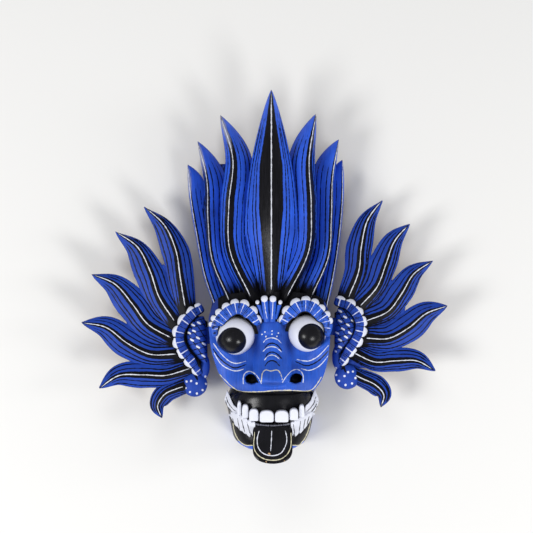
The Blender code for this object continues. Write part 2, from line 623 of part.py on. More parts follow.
def build_mask():
    """Carve the face and both ears, then set the mask down on its back at the origin."""
    parts = new_collection("Raksha mask")
    forms = new_collection("Face forms")
    hollows = new_collection("Face hollows")
    face = face_block(parts, forms, hollows)
    add_boolean(face, "UNION", forms)
    add_boolean(face, "DIFFERENCE", hollows)
    face.data.materials.append(paint("Blue painted face", (0.045, 0.10, 0.52), 0.5))

    pieces = [face]
    ears = (("ear_left", -1, LEFT_FLAMES, LEFT_WEB, FACE_LEFT, EAR_HEIGHTS[0]),
            ("ear_right", 1, RIGHT_FLAMES, RIGHT_WEB, FACE_RIGHT, EAR_HEIGHTS[1]))
    for name, side, flames, notches, face_side, height in ears:
        ear_forms = new_collection(f"{name} forms")
        body = ear(name, flames, notches, parts, ear_forms)
        slot = ear_slot(f"{name}_slot", hollows)
        anchor = (side * (face_side * SHARE + EAR_GAP), height * SHARE, EAR_FRONT * SHARE)
        for thing in [body, slot, *ear_forms.objects]:
            place_ear(thing, side, anchor)
        add_boolean(body, "UNION", ear_forms)
        body.data.materials.append(paint(f"Blue painted {name.replace('_', ' ')}",
                                         (0.045, 0.10, 0.52), 0.5))
        pieces.append(body)
        for thing in ear_forms.objects:
            cutter_look(thing)
    for thing in [*forms.objects, *hollows.objects]:
        cutter_look(thing)

    stand = bpy.data.objects.new("mask_stand", None)
    parts.objects.link(stand)
    stand.location = -bottom_centre(pieces)
    for thing in bpy.data.objects:
        if thing.type == "MESH":
            thing.parent = stand
    bpy.context.view_layer.update()


for leftover in list(bpy.data.objects):
    bpy.data.objects.remove(leftover)
build_mask()
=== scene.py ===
"""Looks of the carved and painted raksha mask, dressed over its solids.

Every piece is a closed surface worked out on a grid in the carver's frame (millimetres from the
middle of the back of the bridge of the nose, +Z towards the viewer), and carries its paint as
distances to the edges of each colour, so that fine brush lines stay crisp.
"""

import logging
import math
from collections.abc import Callable
from dataclasses import dataclass, field
from enum import Enum

import bpy
import numpy as np
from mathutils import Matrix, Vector


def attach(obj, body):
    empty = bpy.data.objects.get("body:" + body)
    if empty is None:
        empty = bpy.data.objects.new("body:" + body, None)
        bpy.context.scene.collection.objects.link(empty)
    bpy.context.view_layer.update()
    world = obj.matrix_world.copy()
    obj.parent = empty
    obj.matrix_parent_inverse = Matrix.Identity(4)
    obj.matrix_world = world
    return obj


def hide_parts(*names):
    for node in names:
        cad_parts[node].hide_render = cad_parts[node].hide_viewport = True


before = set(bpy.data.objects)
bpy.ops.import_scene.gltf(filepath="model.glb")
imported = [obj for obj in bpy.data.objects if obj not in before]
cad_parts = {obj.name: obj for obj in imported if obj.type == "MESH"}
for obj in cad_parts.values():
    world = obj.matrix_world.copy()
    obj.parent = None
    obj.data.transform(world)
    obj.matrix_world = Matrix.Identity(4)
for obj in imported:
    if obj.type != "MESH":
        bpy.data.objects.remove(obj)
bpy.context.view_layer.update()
log = logging.getLogger("raksha_mask")

Grid = np.ndarray
Place = tuple[float, float]
Spot = tuple[float, float, float]
Knots = tuple[tuple[float, ...], ...]
Ridges = tuple[tuple[Knots, float, float], ...]
Ribs = tuple[tuple[Place, Place, float, float, float], ...]
Socket = bpy.types.NodeSocket
Value = bpy.types.NodeSocket | float | tuple[float, ...] | None

SHARE = 0.001                 # one millimetre of the carver's frame, in metres
CREST_TIP = (1.0, 198.5)      # tip of the middle flame in the carver's frame
PICTURE_MIDDLE = 266.5        # middle of the photograph, in pixels
PIXEL = 0.8                   # millimetres to a pixel at the height of PIXEL_PLANE
PIXEL_PLANE = 30.0
EYE_LEVEL = 1230.0            # height of the camera above the back of the mask
AIM = (-2.8, 58.8)            # point of the carver's frame in the middle of the photograph
FAR = -9.0                    # paint value well outside a colour


class Side(Enum):
    """Viewer's side that an ear or eye is on."""

    LEFT = -1
    RIGHT = 1


class Brush(Enum):
    """Seeds of the brushed streaks, one to each kind of piece."""

    PLAIN = 0
    CORE = 8
    EAR_FLAME = 10
    WEB = 21
    BAND = 31
    INNER = 41
    LOBE = 51
    TENON = 61
    FACE = 71
    EYE = 81
    PUPIL = 82
    RIB = 101
    LIPS = 111
    UPPER_TOOTH = 120
    LOWER_TOOTH = 130
    CORNER_FAN = 140
    JAW = 151
    TONGUE = 161


class Tone(Enum):
    """Colours of the paints and the wood, as display values from 0 to 255."""

    CREST_BLUE = (42, 90, 208)
    EAR_BLUE = (27, 64, 158)
    FACE_BLUE = (35, 86, 192)
    DEEP_BLUE = (15, 32, 104)
    BLACK = (8, 8, 11)
    DUSTY_BLACK = (22, 21, 28)
    # Pale grey of worn paint, also painted shade at the corners of the mouth
    SCUFF = (150, 152, 168)
    WHITE = (210, 212, 222)
    CREAM = (204, 198, 168)
    WOOD = (214, 184, 140)
    WOOD_DARK = (160, 118, 76)
    FLOOR = (214, 213, 210)

    def linear(self) -> tuple[float, float, float, float]:
        """Return the colour in linear light with full opacity."""
        return (*(_to_linear(part / 255) for part in self.value), 1.0)


def _to_linear(part: float) -> float:
    """Return a display value from 0 to 1 in linear light."""
    return part / 12.92 if part <= 0.04045 else ((part + 0.055) / 1.055) ** 2.4


# Curves and sections

def smoothstep(value: Grid) -> Grid:
    """Return 3t^2 - 2t^3 with t held between 0 and 1."""
    held = np.clip(value, 0, 1)
    return held * held * (3 - 2 * held)


def smooth_max(first: Grid, second: Grid, blend: float) -> Grid:
    """Return the larger of two heights, rounded over by blend where they meet."""
    return 0.5 * (first + second + np.sqrt((first - second) ** 2 + blend ** 2) - blend)


def spline_at(knots: Knots | Grid, place: Grid) -> Grid:
    """Read a Catmull-Rom curve through knots.

    Args:
        knots: points of any dimension, in order.
        place: where to read it, from 0 at the first knot, 1 at the second and so on.

    Returns:
        The points of the curve, one per row.
    """
    known = np.array(knots, float)
    padded = np.vstack([2 * known[0] - known[1], known, 2 * known[-1] - known[-2]])
    span = np.clip(place.astype(int), 0, len(known) - 2)
    t = (place - span)[:, None]
    a, b, c, d = (padded[span + k] for k in range(4))
    return 0.5 * (2 * b + (c - a) * t + (2 * a - 5 * b + 4 * c - d) * t ** 2
                  + (3 * b - a - 3 * c + d) * t ** 3)


def spline(knots: Knots | Grid, count: int) -> Grid:
    """Read even steps from a Catmull-Rom curve through knots."""
    return spline_at(knots, np.linspace(0, len(knots) - 1, count))


def read_rows(rows: Knots, at: Grid) -> list[Grid]:
    """Read smooth values from a table at given first-column values.

    Args:
        rows: rows of one falling or rising value followed by what goes with it.
        at: values of the first column to read at.

    Returns:
        One column array, shaped (len(at), 1), for each further column of the table.
    """
    dense = spline(rows, 12 * len(rows))
    if dense[0, 0] > dense[-1, 0]:
        dense = dense[::-1]
    return [np.interp(at, dense[:, 0], dense[:, k])[:, None] for k in range(1, dense.shape[1])]


def squircle(angle: Grid, power: Grid | float) -> Grid:
    """Return the polar radius 1 / (|cos|^p + |sin|^p)^(1/p) of a superellipse."""
    return (np.abs(np.cos(angle)) ** power + np.abs(np.sin(angle)) ** power) ** (-1 / power)


# Paint

def distance_to_line(view: Grid, knots: Knots) -> tuple[Grid, Grid]:
    """Measure how far points of the picture are from a smooth line.

    Args:
        view: points in pixels, shaped (rings, count, 2).
        knots: points of the line in pixels.

    Returns:
        The distance to the nearest point of the line, and that point's share of its length.
    """
    line = spline(knots, 8 * len(knots))
    flat = view.reshape(-1, 2)
    near = np.all((flat > line.min(0) - 4) & (flat < line.max(0) + 4), axis=1)
    close = flat[near]
    best = np.full(len(close), 99.0)
    share = np.zeros(len(close))
    steps = len(line) - 1
    for k, (start, end) in enumerate(zip(line, line[1:])):
        run = end - start
        along = np.clip(((close - start) @ run) / max(run @ run, 1e-9), 0, 1)
        gap = np.linalg.norm(close - start - along[:, None] * run, axis=1)
        better = gap < best
        best = np.where(better, gap, best)
        share = np.where(better, (k + along) / steps, share)
    distance = np.full(len(flat), 99.0)
    place = np.zeros(len(flat))
    distance[near] = best
    place[near] = share
    return distance.reshape(view.shape[:2]), place.reshape(view.shape[:2])


def brush_line(view: Grid, knots: Knots, width: float, taper: float = 0.35) -> Grid:
    """Return millimetres inside a brush line, thinner towards both ends.

    Args:
        view: points in pixels.
        knots: points of the line in pixels.
        width: full width of the line in pixels.
        taper: share of the width that is gone at its ends.

    Returns:
        Millimetres inside (+) or outside (-).
    """
    distance, place = distance_to_line(view, knots)
    full = 1 - taper * (1 - np.sqrt(np.clip(np.sin(np.pi * place), 0, 1)))
    return (width / 2 * full - distance) * PIXEL


def brush_lines(view: Grid, lines: tuple[Knots, ...], width: float) -> Grid:
    """Return millimetres inside the nearest of several brush lines."""
    return np.max([brush_line(view, line, width) for line in lines], axis=0)


def dots(view: Grid, centres: Knots, radius: float) -> Grid:
    """Return millimetres inside the nearest of several round dots."""
    gaps = [np.hypot(view[..., 0] - x, view[..., 1] - y) for x, y in centres]
    return (radius - np.min(gaps, axis=0)) * PIXEL


def oval(view: Grid, centre: Place, half: Place, turn: float = 0.0) -> Grid:
    """Measure how far points of the picture are inside an oval.

    Args:
        view: points in pixels.
        centre: middle of the oval in pixels.
        half: half its width and half its height in pixels, before it is turned.
        turn: how far it is turned, in degrees.

    Returns:
        Rough millimetres inside (+) or outside (-).
    """
    dx, dy = view[..., 0] - centre[0], view[..., 1] - centre[1]
    cosine, sine = math.cos(math.radians(turn)), math.sin(math.radians(turn))
    across = (dx * cosine + dy * sine) / half[0]
    up = (dy * cosine - dx * sine) / half[1]
    return (1 - np.hypot(across, up)) * min(half) * PIXEL


def inside_outline(view: Grid, outline: Grid) -> Grid:
    """Return pixels inside (+) or outside (-) a closed outline of straight runs.

    Args:
        view: points in pixels.
        outline: corners in pixels, in order; the last joins the first.

    Returns:
        The signed distance, by the nearest run and an even-odd count of crossings.
    """
    flat = view.reshape(-1, 2)
    best = np.full(len(flat), 1e9)
    odd = np.zeros(len(flat), bool)
    for start, end in zip(outline, np.roll(outline, -1, axis=0)):
        run = end - start
        along = np.clip(((flat - start) @ run) / max(run @ run, 1e-9), 0, 1)
        best = np.minimum(best, np.linalg.norm(flat - start - along[:, None] * run, axis=1))
        crosses = (start[1] > flat[:, 1]) != (end[1] > flat[:, 1])
        rise = run[1] if abs(run[1]) > 1e-9 else 1e-9
        odd ^= crosses & (flat[:, 0] < start[0] + (flat[:, 1] - start[1]) / rise * run[0])
    return np.where(odd, best, -best).reshape(view.shape[:2])


@dataclass
class Paint:
    """Paint of a piece: millimetres inside (+) or outside (-) each colour, at every point.

    shade is dry black dragged over the ground, then pale grey, which is rubbing at the tips of
    flames and on the floor of the mouth but painted shade at its corners, and a darker ground,
    painted shade in the hollows of the face, all from 0 to 1.
    """

    black: Grid
    white: Grid
    cream: Grid
    bare: Grid
    shade: Grid
    scuff: Grid
    dusk: Grid
    stroke: Grid

    @classmethod
    def ground(cls, rings: Grid, brush: Brush = Brush.PLAIN, step: int = 0) -> "Paint":
        """Start the paint of a piece with its plain ground, brushed along the mask's height.

        Args:
            rings: the piece's points.
            brush: where its streaks are read.
            step: how many seeds further on.

        Returns:
            The paint, with no colour on it yet.
        """
        away = np.full(rings.shape[:2], FAR)
        seed = np.full(rings.shape[:2], brush.value + step)
        stroke = np.dstack([rings[..., 0], rings[..., 1], seed])
        none = np.zeros(rings.shape[:2])
        return cls(away, away.copy(), away.copy(), away.copy(), none, none.copy(), none.copy(),
                   stroke)

    def add(self, colour: str, amount: Grid) -> None:
        """Add more of one colour to what is there."""
        setattr(self, colour, np.maximum(getattr(self, colour), amount))


# Frame

@dataclass(frozen=True)
class Carver:
    """The carver's frame and how the photograph sees it."""

    shift: Place

    @classmethod
    def from_solids(cls) -> "Carver":
        """Find the frame from the tip of the crest, the highest point of the face block."""
        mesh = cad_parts["mask_face"].data
        places = np.zeros(len(mesh.vertices) * 3, np.float32)
        mesh.vertices.foreach_get("co", places)
        tip = places.reshape(-1, 3)[np.argmax(places[1::3])]
        return cls((float(tip[0]) - CREST_TIP[0] * SHARE, float(tip[1]) - CREST_TIP[1] * SHARE))

    def place(self, points: Grid) -> Grid:
        """Return points of the carver's frame in metres in the mask's frame."""
        return points * SHARE + np.array((*self.shift, 0.0))

    @staticmethod
    def seen(points: Grid) -> Grid:
        """Return where points of the carver's frame show in the photograph, in pixels.

        A point's offset from the aim shrinks with its distance from the camera.

        Args:
            points: points of the carver's frame.

        Returns:
            Their places, x to the right and y down.
        """
        scale = PIXEL * (EYE_LEVEL - points[..., 2]) / (EYE_LEVEL - PIXEL_PLANE)
        return np.stack([PICTURE_MIDDLE + (points[..., 0] - AIM[0]) / scale,
                         PICTURE_MIDDLE - (points[..., 1] - AIM[1]) / scale], axis=-1)

    @staticmethod
    def at_pixels(pixels: Knots | Grid, height: float) -> Grid:
        """Find the points of the carver's frame, at one height, that show at given pixels.

        Args:
            pixels: places in the photograph.
            height: height above the back of the mask.

        Returns:
            Their x and y.
        """
        scale = PIXEL * (EYE_LEVEL - height) / (EYE_LEVEL - PIXEL_PLANE)
        pixels = np.array(pixels, float)
        return np.stack([AIM[0] + (pixels[..., 0] - PICTURE_MIDDLE) * scale,
                         AIM[1] - (pixels[..., 1] - PICTURE_MIDDLE) * scale], axis=-1)


# Meshes

def closed_mesh(name: str, rings: Grid, paint: Paint) -> bpy.types.Mesh:
    """Skin closed rings, with a pole in the middle of each end.

    Every ring joins the next with a belt of quads, and fans of triangles close the ends. The
    faces are turned round if the volume they enclose, a sixth of the sum of the triple products
    of their corners, comes out negative.

    Args:
        name: name of the mesh.
        rings: points shaped (rings, count, 3), in metres.
        paint: paint at the same points.

    Returns:
        The finished mesh, shaded smooth but for its creases.
    """
    count_rings, count = rings.shape[:2]
    ends = np.array([rings[0].mean(0), rings[-1].mean(0)])
    points = np.vstack([rings.reshape(-1, 3), ends])
    index = np.arange(count_rings * count).reshape(count_rings, count)
    after = np.roll(index, -1, axis=1)
    quads = np.stack([index[:-1], after[:-1], after[1:], index[1:]], axis=-1).reshape(-1, 4)
    first, last = count_rings * count, count_rings * count + 1
    fans = np.vstack([np.stack([after[0], index[0], np.full(count, first)], axis=-1),
                      np.stack([index[-1], after[-1], np.full(count, last)], axis=-1)])
    a, b, c, d = (points[quads[:, k]] for k in range(4))
    volume = np.einsum("ij,ij->", a, np.cross(b, c)) + np.einsum("ij,ij->", a, np.cross(c, d))
    e, f, g = (points[fans[:, k]] for k in range(3))
    volume += np.einsum("ij,ij->", e, np.cross(f, g))
    if volume < 0:
        quads, fans = quads[:, ::-1], fans[:, ::-1]
    corners = np.concatenate([quads.ravel(), fans.ravel()]).astype(np.int32)
    starts = np.concatenate([np.arange(len(quads)) * 4,
                             len(quads) * 4 + np.arange(len(fans)) * 3]).astype(np.int32)

    mesh = bpy.data.meshes.new(name)
    mesh.vertices.add(len(points))
    mesh.vertices.foreach_set("co", points.astype(np.float32).ravel())
    mesh.loops.add(len(corners))
    mesh.loops.foreach_set("vertex_index", corners)
    mesh.polygons.add(len(starts))
    mesh.polygons.foreach_set("loop_start", starts)
    mesh.update(calc_edges=True)
    for colour in ("black", "white", "cream", "bare", "shade", "scuff", "dusk"):
        values = getattr(paint, colour)
        packed = np.concatenate([values.ravel(), [values[0].mean(), values[-1].mean()]])
        mesh.attributes.new(colour, "FLOAT", "POINT")
        mesh.attributes[colour].data.foreach_set("value", packed.astype(np.float32))
    stroke = np.vstack([paint.stroke.reshape(-1, 3), paint.stroke[0].mean(0),
                        paint.stroke[-1].mean(0)])
    mesh.attributes.new("stroke", "FLOAT_VECTOR", "POINT")
    mesh.attributes["stroke"].data.foreach_set("vector", stroke.astype(np.float32).ravel())
    mesh.shade_smooth()
    mesh.set_sharp_from_angle(angle=math.radians(38))
    return mesh


# Finishes

class Palette:
    """Short hand for the nodes of one material."""

    def __init__(self, name: str) -> None:
        """Start a material with an empty Principled shader."""
        self.material = bpy.data.materials.new(name)
        self.material.use_nodes = True
        self.tree = self.material.node_tree
        self.shader = self.tree.nodes["Principled BSDF"]

    def join(self, value: Value, socket: Socket) -> None:
        """Set a socket to a number or colour, or link another socket to it."""
        if isinstance(value, bpy.types.NodeSocket):
            self.tree.links.new(value, socket)
        elif value is not None:
            socket.default_value = value

    def node(self, kind: str, inputs: dict[int | str, Value], **settings: str) -> bpy.types.Node:
        """Add a node.

        Args:
            kind: its type.
            inputs: what goes into it, by the place or name of the input.
            settings: its own settings, by name.

        Returns:
            The new node.
        """
        node = self.tree.nodes.new(kind)
        for name, setting in settings.items():
            setattr(node, name, setting)
        for place, value in inputs.items():
            self.join(value, node.inputs[place])
        return node

    def coordinates(self) -> Socket:
        """Return Object coordinates, in metres."""
        return self.node("ShaderNodeTexCoord", {}).outputs["Object"]

    def attribute(self, name: str, output: str = "Fac") -> Socket:
        """Return one of the piece's own attributes."""
        return self.node("ShaderNodeAttribute", {}, attribute_name=name).outputs[output]

    def stretch(self, vector: Socket, scale: Spot) -> Socket:
        """Return a vector multiplied part by part."""
        return self.node("ShaderNodeVectorMath", {0: vector, 1: scale},
                         operation="MULTIPLY").outputs[0]

    def noise(self, vector: Socket, scale: float, detail: float = 3.0,
              rough: float = 0.55) -> Socket:
        """Return noise spread to fill about 0 to 1."""
        node = self.node("ShaderNodeTexNoise", {"Vector": vector, "Scale": scale,
                                                "Detail": detail, "Roughness": rough})
        return self.span(node.outputs["Fac"], 0.3, 0.7)

    def span(self, value: Socket, low: float, high: float, new_low: float = 0.0,
             new_high: float = 1.0, kind: str = "LINEAR") -> Socket:
        """Return a value carried from one range to another and held there."""
        inputs = dict(enumerate((value, low, high, new_low, new_high)))
        return self.node("ShaderNodeMapRange", inputs, interpolation_type=kind).outputs[0]

    def math(self, operation: str, first: Value, second: Value = None) -> Socket:
        """Return one arithmetic step."""
        return self.node("ShaderNodeMath", {0: first, 1: second}, operation=operation).outputs[0]

    def mix(self, share: Value, first: Value, second: Value) -> Socket:
        """Return one colour laid over another by a share."""
        return self.node("ShaderNodeMix", {0: share, 6: first, 7: second},
                         data_type="RGBA").outputs[2]

    def blend(self, share: Value, first: Value, second: Value) -> Socket:
        """Return one number laid over another by a share."""
        return self.node("ShaderNodeMix", {0: share, 2: first, 3: second}).outputs[0]

    def bump(self, height: Value, distance: float, strength: float) -> Socket:
        """Return a normal roughened by a height, in metres."""
        return self.node("ShaderNodeBump", {"Height": height, "Distance": distance,
                                            "Strength": strength}).outputs[0]


@dataclass(frozen=True)
class PaintedWood:
    """Enamel brushed on light wood: a ground colour under black, cream and white lines."""

    name: str
    ground: Tone
    ground_dark: Tone
    ground_roughness: float = 0.5
    black_roughness: float = 0.3
    line_roughness: float = 0.45
    ground_shine: float = 0.32
    black_shine: float = 0.16
    relief: float = 0.00012       # height of the brush marks, in metres
    edge: float = 0.07            # half width of the soft edge of a colour, mm
    wobble: float = 0.3           # how far a brushed edge wanders, mm

    def mask(self, pot: Palette, colour: str, wander: Socket,
             soft: float | None = None) -> Socket:
        """Find where a colour lies, with a hand-brushed edge.

        Args:
            pot: the material's nodes.
            colour: the attribute that holds millimetres inside the colour.
            wander: how far its edge wanders.
            soft: half width of its soft edge, if it isn't the finish's own.

        Returns:
            0 outside the colour and 1 inside it.
        """
        edge = soft or self.edge
        place = pot.math("ADD", pot.attribute(colour), wander)
        return pot.span(place, -edge, edge, kind="SMOOTHSTEP")

    def make(self) -> bpy.types.Material:
        """Build the material.

        Streaks follow the stroke attribute, (across, along) in millimetres. Dry black paint
        covers the ground where the shade attribute beats the streaks.

        Returns:
            The finished material.
        """
        pot = Palette(self.name)
        where = pot.coordinates()
        stroke = pot.attribute("stroke", "Vector")
        streak = pot.noise(pot.stretch(stroke, (0.95, 0.05, 7.0)), 1.0, 3.0, 0.6)
        hair = pot.noise(pot.stretch(stroke, (4.5, 0.16, 3.0)), 1.0, 2.0, 0.6)
        blotch = pot.noise(where, 70.0, 3.0)
        wander = pot.math("MULTIPLY", pot.math("SUBTRACT", pot.noise(where, 420.0, 1.0), 0.5),
                          self.wobble)

        tint = pot.blend(0.45, streak, blotch)
        # Darker ground: at random by streaks and blotches, plus painted shade in the face's hollows
        deep = pot.math("MAXIMUM", pot.span(tint, 0.25, 0.95, 0.0, 0.5), pot.attribute("dusk"))
        colour = pot.mix(deep, self.ground.linear(), self.ground_dark.linear())
        shade = pot.attribute("shade")
        dry = pot.math("SUBTRACT", pot.math("MULTIPLY", shade, 1.9),
                       pot.blend(0.4, streak, hair))
        dry = pot.math("MULTIPLY", pot.span(dry, 0.0, 0.55), pot.span(shade, 0.0, 0.12))
        black = pot.math("MAXIMUM", dry, self.mask(pot, "black", wander))
        dusty = pot.mix(pot.span(streak, 0.3, 1.0, 0.0, 0.7), Tone.BLACK.linear(),
                        Tone.DUSTY_BLACK.linear())
        colour = pot.mix(black, colour, dusty)
        # Pale grey: worn paint on flame tips and the mouth's floor; painted shade at mouth corners
        scuff_and_shade_mask = pot.math("SUBTRACT", pot.math("MULTIPLY", pot.attribute("scuff"), 1.7), hair)
        scuff_and_shade_mask = pot.math("MULTIPLY", pot.span(scuff_and_shade_mask, 0.0, 0.5), 0.75)
        colour = pot.mix(scuff_and_shade_mask, colour, Tone.SCUFF.linear())
        grain = pot.noise(pot.stretch(where, (900.0, 60.0, 300.0)), 1.0, 4.0, 0.65)
        wood = pot.mix(grain, Tone.WOOD.linear(), Tone.WOOD_DARK.linear())
        bare = self.mask(pot, "bare", pot.math("MULTIPLY", wander, 3.0), 0.3)
        colour = pot.mix(bare, colour, wood)
        cover = pot.span(hair, 0.0, 0.6, 0.78, 1.0)
        cream = pot.math("MULTIPLY", self.mask(pot, "cream", wander), cover)
        white = pot.math("MULTIPLY", self.mask(pot, "white", wander), cover)
        colour = pot.mix(cream, colour, Tone.CREAM.linear())
        colour = pot.mix(white, colour, Tone.WHITE.linear())
        pot.join(colour, pot.shader.inputs["Base Color"])

        rough = pot.span(blotch, 0.0, 1.0, self.ground_roughness - 0.06,
                         self.ground_roughness + 0.06)
        black_rough = pot.span(streak, 0.0, 1.0, self.black_roughness - 0.05,
                               self.black_roughness + 0.08)
        rough = pot.blend(black, rough, black_rough)
        rough = pot.blend(pot.math("MAXIMUM", cream, white), rough, self.line_roughness)
        rough = pot.blend(bare, rough, 0.78)
        pot.join(rough, pot.shader.inputs["Roughness"])
        pot.join(pot.blend(black, self.ground_shine, self.black_shine),
                 pot.shader.inputs["Specular IOR Level"])

        relief = pot.math("ADD", pot.math("MULTIPLY", hair, 0.3),
                          pot.math("MULTIPLY", pot.noise(where, 260.0, 3.0), 0.55))
        relief = pot.math("ADD", relief, pot.math("MULTIPLY", pot.math("MAXIMUM", cream, white),
                                                  0.5))
        relief = pot.math("ADD", relief, pot.math("MULTIPLY", bare,
                                                  pot.math("MULTIPLY", grain, 1.2)))
        pot.join(pot.bump(relief, self.relief, 0.8), pot.shader.inputs["Normal"])
        return pot.material


# Workshop

@dataclass
class Workshop:
    """Makes pieces: sets them in the mask's frame, paints them and rides them on the root."""

    carver: Carver
    finishes: dict[str, bpy.types.Material] = field(default_factory=dict)

    def finish(self, finish: PaintedWood) -> bpy.types.Material:
        """Return a finish's material, made once."""
        if finish.name not in self.finishes:
            self.finishes[finish.name] = finish.make()
        return self.finishes[finish.name]

    def add(self, name: str, rings: Grid, paint: Paint, finish: PaintedWood,
            node: str = "mask_face", slot: str = "face_paint") -> bpy.types.Object:
        """Make one piece of the mask.

        Args:
            name: the piece's name.
            rings: its points in the carver's frame.
            paint: its paint.
            finish: the finish that shows the paint.
            node: the solid that it stands for.
            slot: not used.

        Returns:
            The new object, at the origin with its place in its mesh.
        """
        mesh = closed_mesh(name, self.carver.place(rings), paint)
        piece = bpy.data.objects.new(name, mesh)
        bpy.context.scene.collection.objects.link(piece)
        mesh.materials.append(self.finish(finish))
        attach(piece, "root")
        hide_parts(node)
        log.info("%s: %d points", name, len(mesh.vertices))
        return piece


CREST_FINISH = PaintedWood("crest_enamel", Tone.CREST_BLUE, Tone.DEEP_BLUE, 0.5, 0.3)
EAR_FINISH = PaintedWood("ear_enamel", Tone.EAR_BLUE, Tone.DEEP_BLUE, 0.58, 0.42,
                         ground_shine=0.22, black_shine=0.1)
FACE_FINISH = PaintedWood("face_enamel", Tone.FACE_BLUE, Tone.DEEP_BLUE, 0.48, 0.34)
GLOSS_FINISH = PaintedWood("gloss_black", Tone.BLACK, Tone.DUSTY_BLACK, 0.27, 0.27,
                           ground_shine=0.26, relief=0.00005)
WHITE_FINISH = PaintedWood("white_enamel", Tone.WHITE, Tone.WHITE, 0.4, 0.35)


# Flames

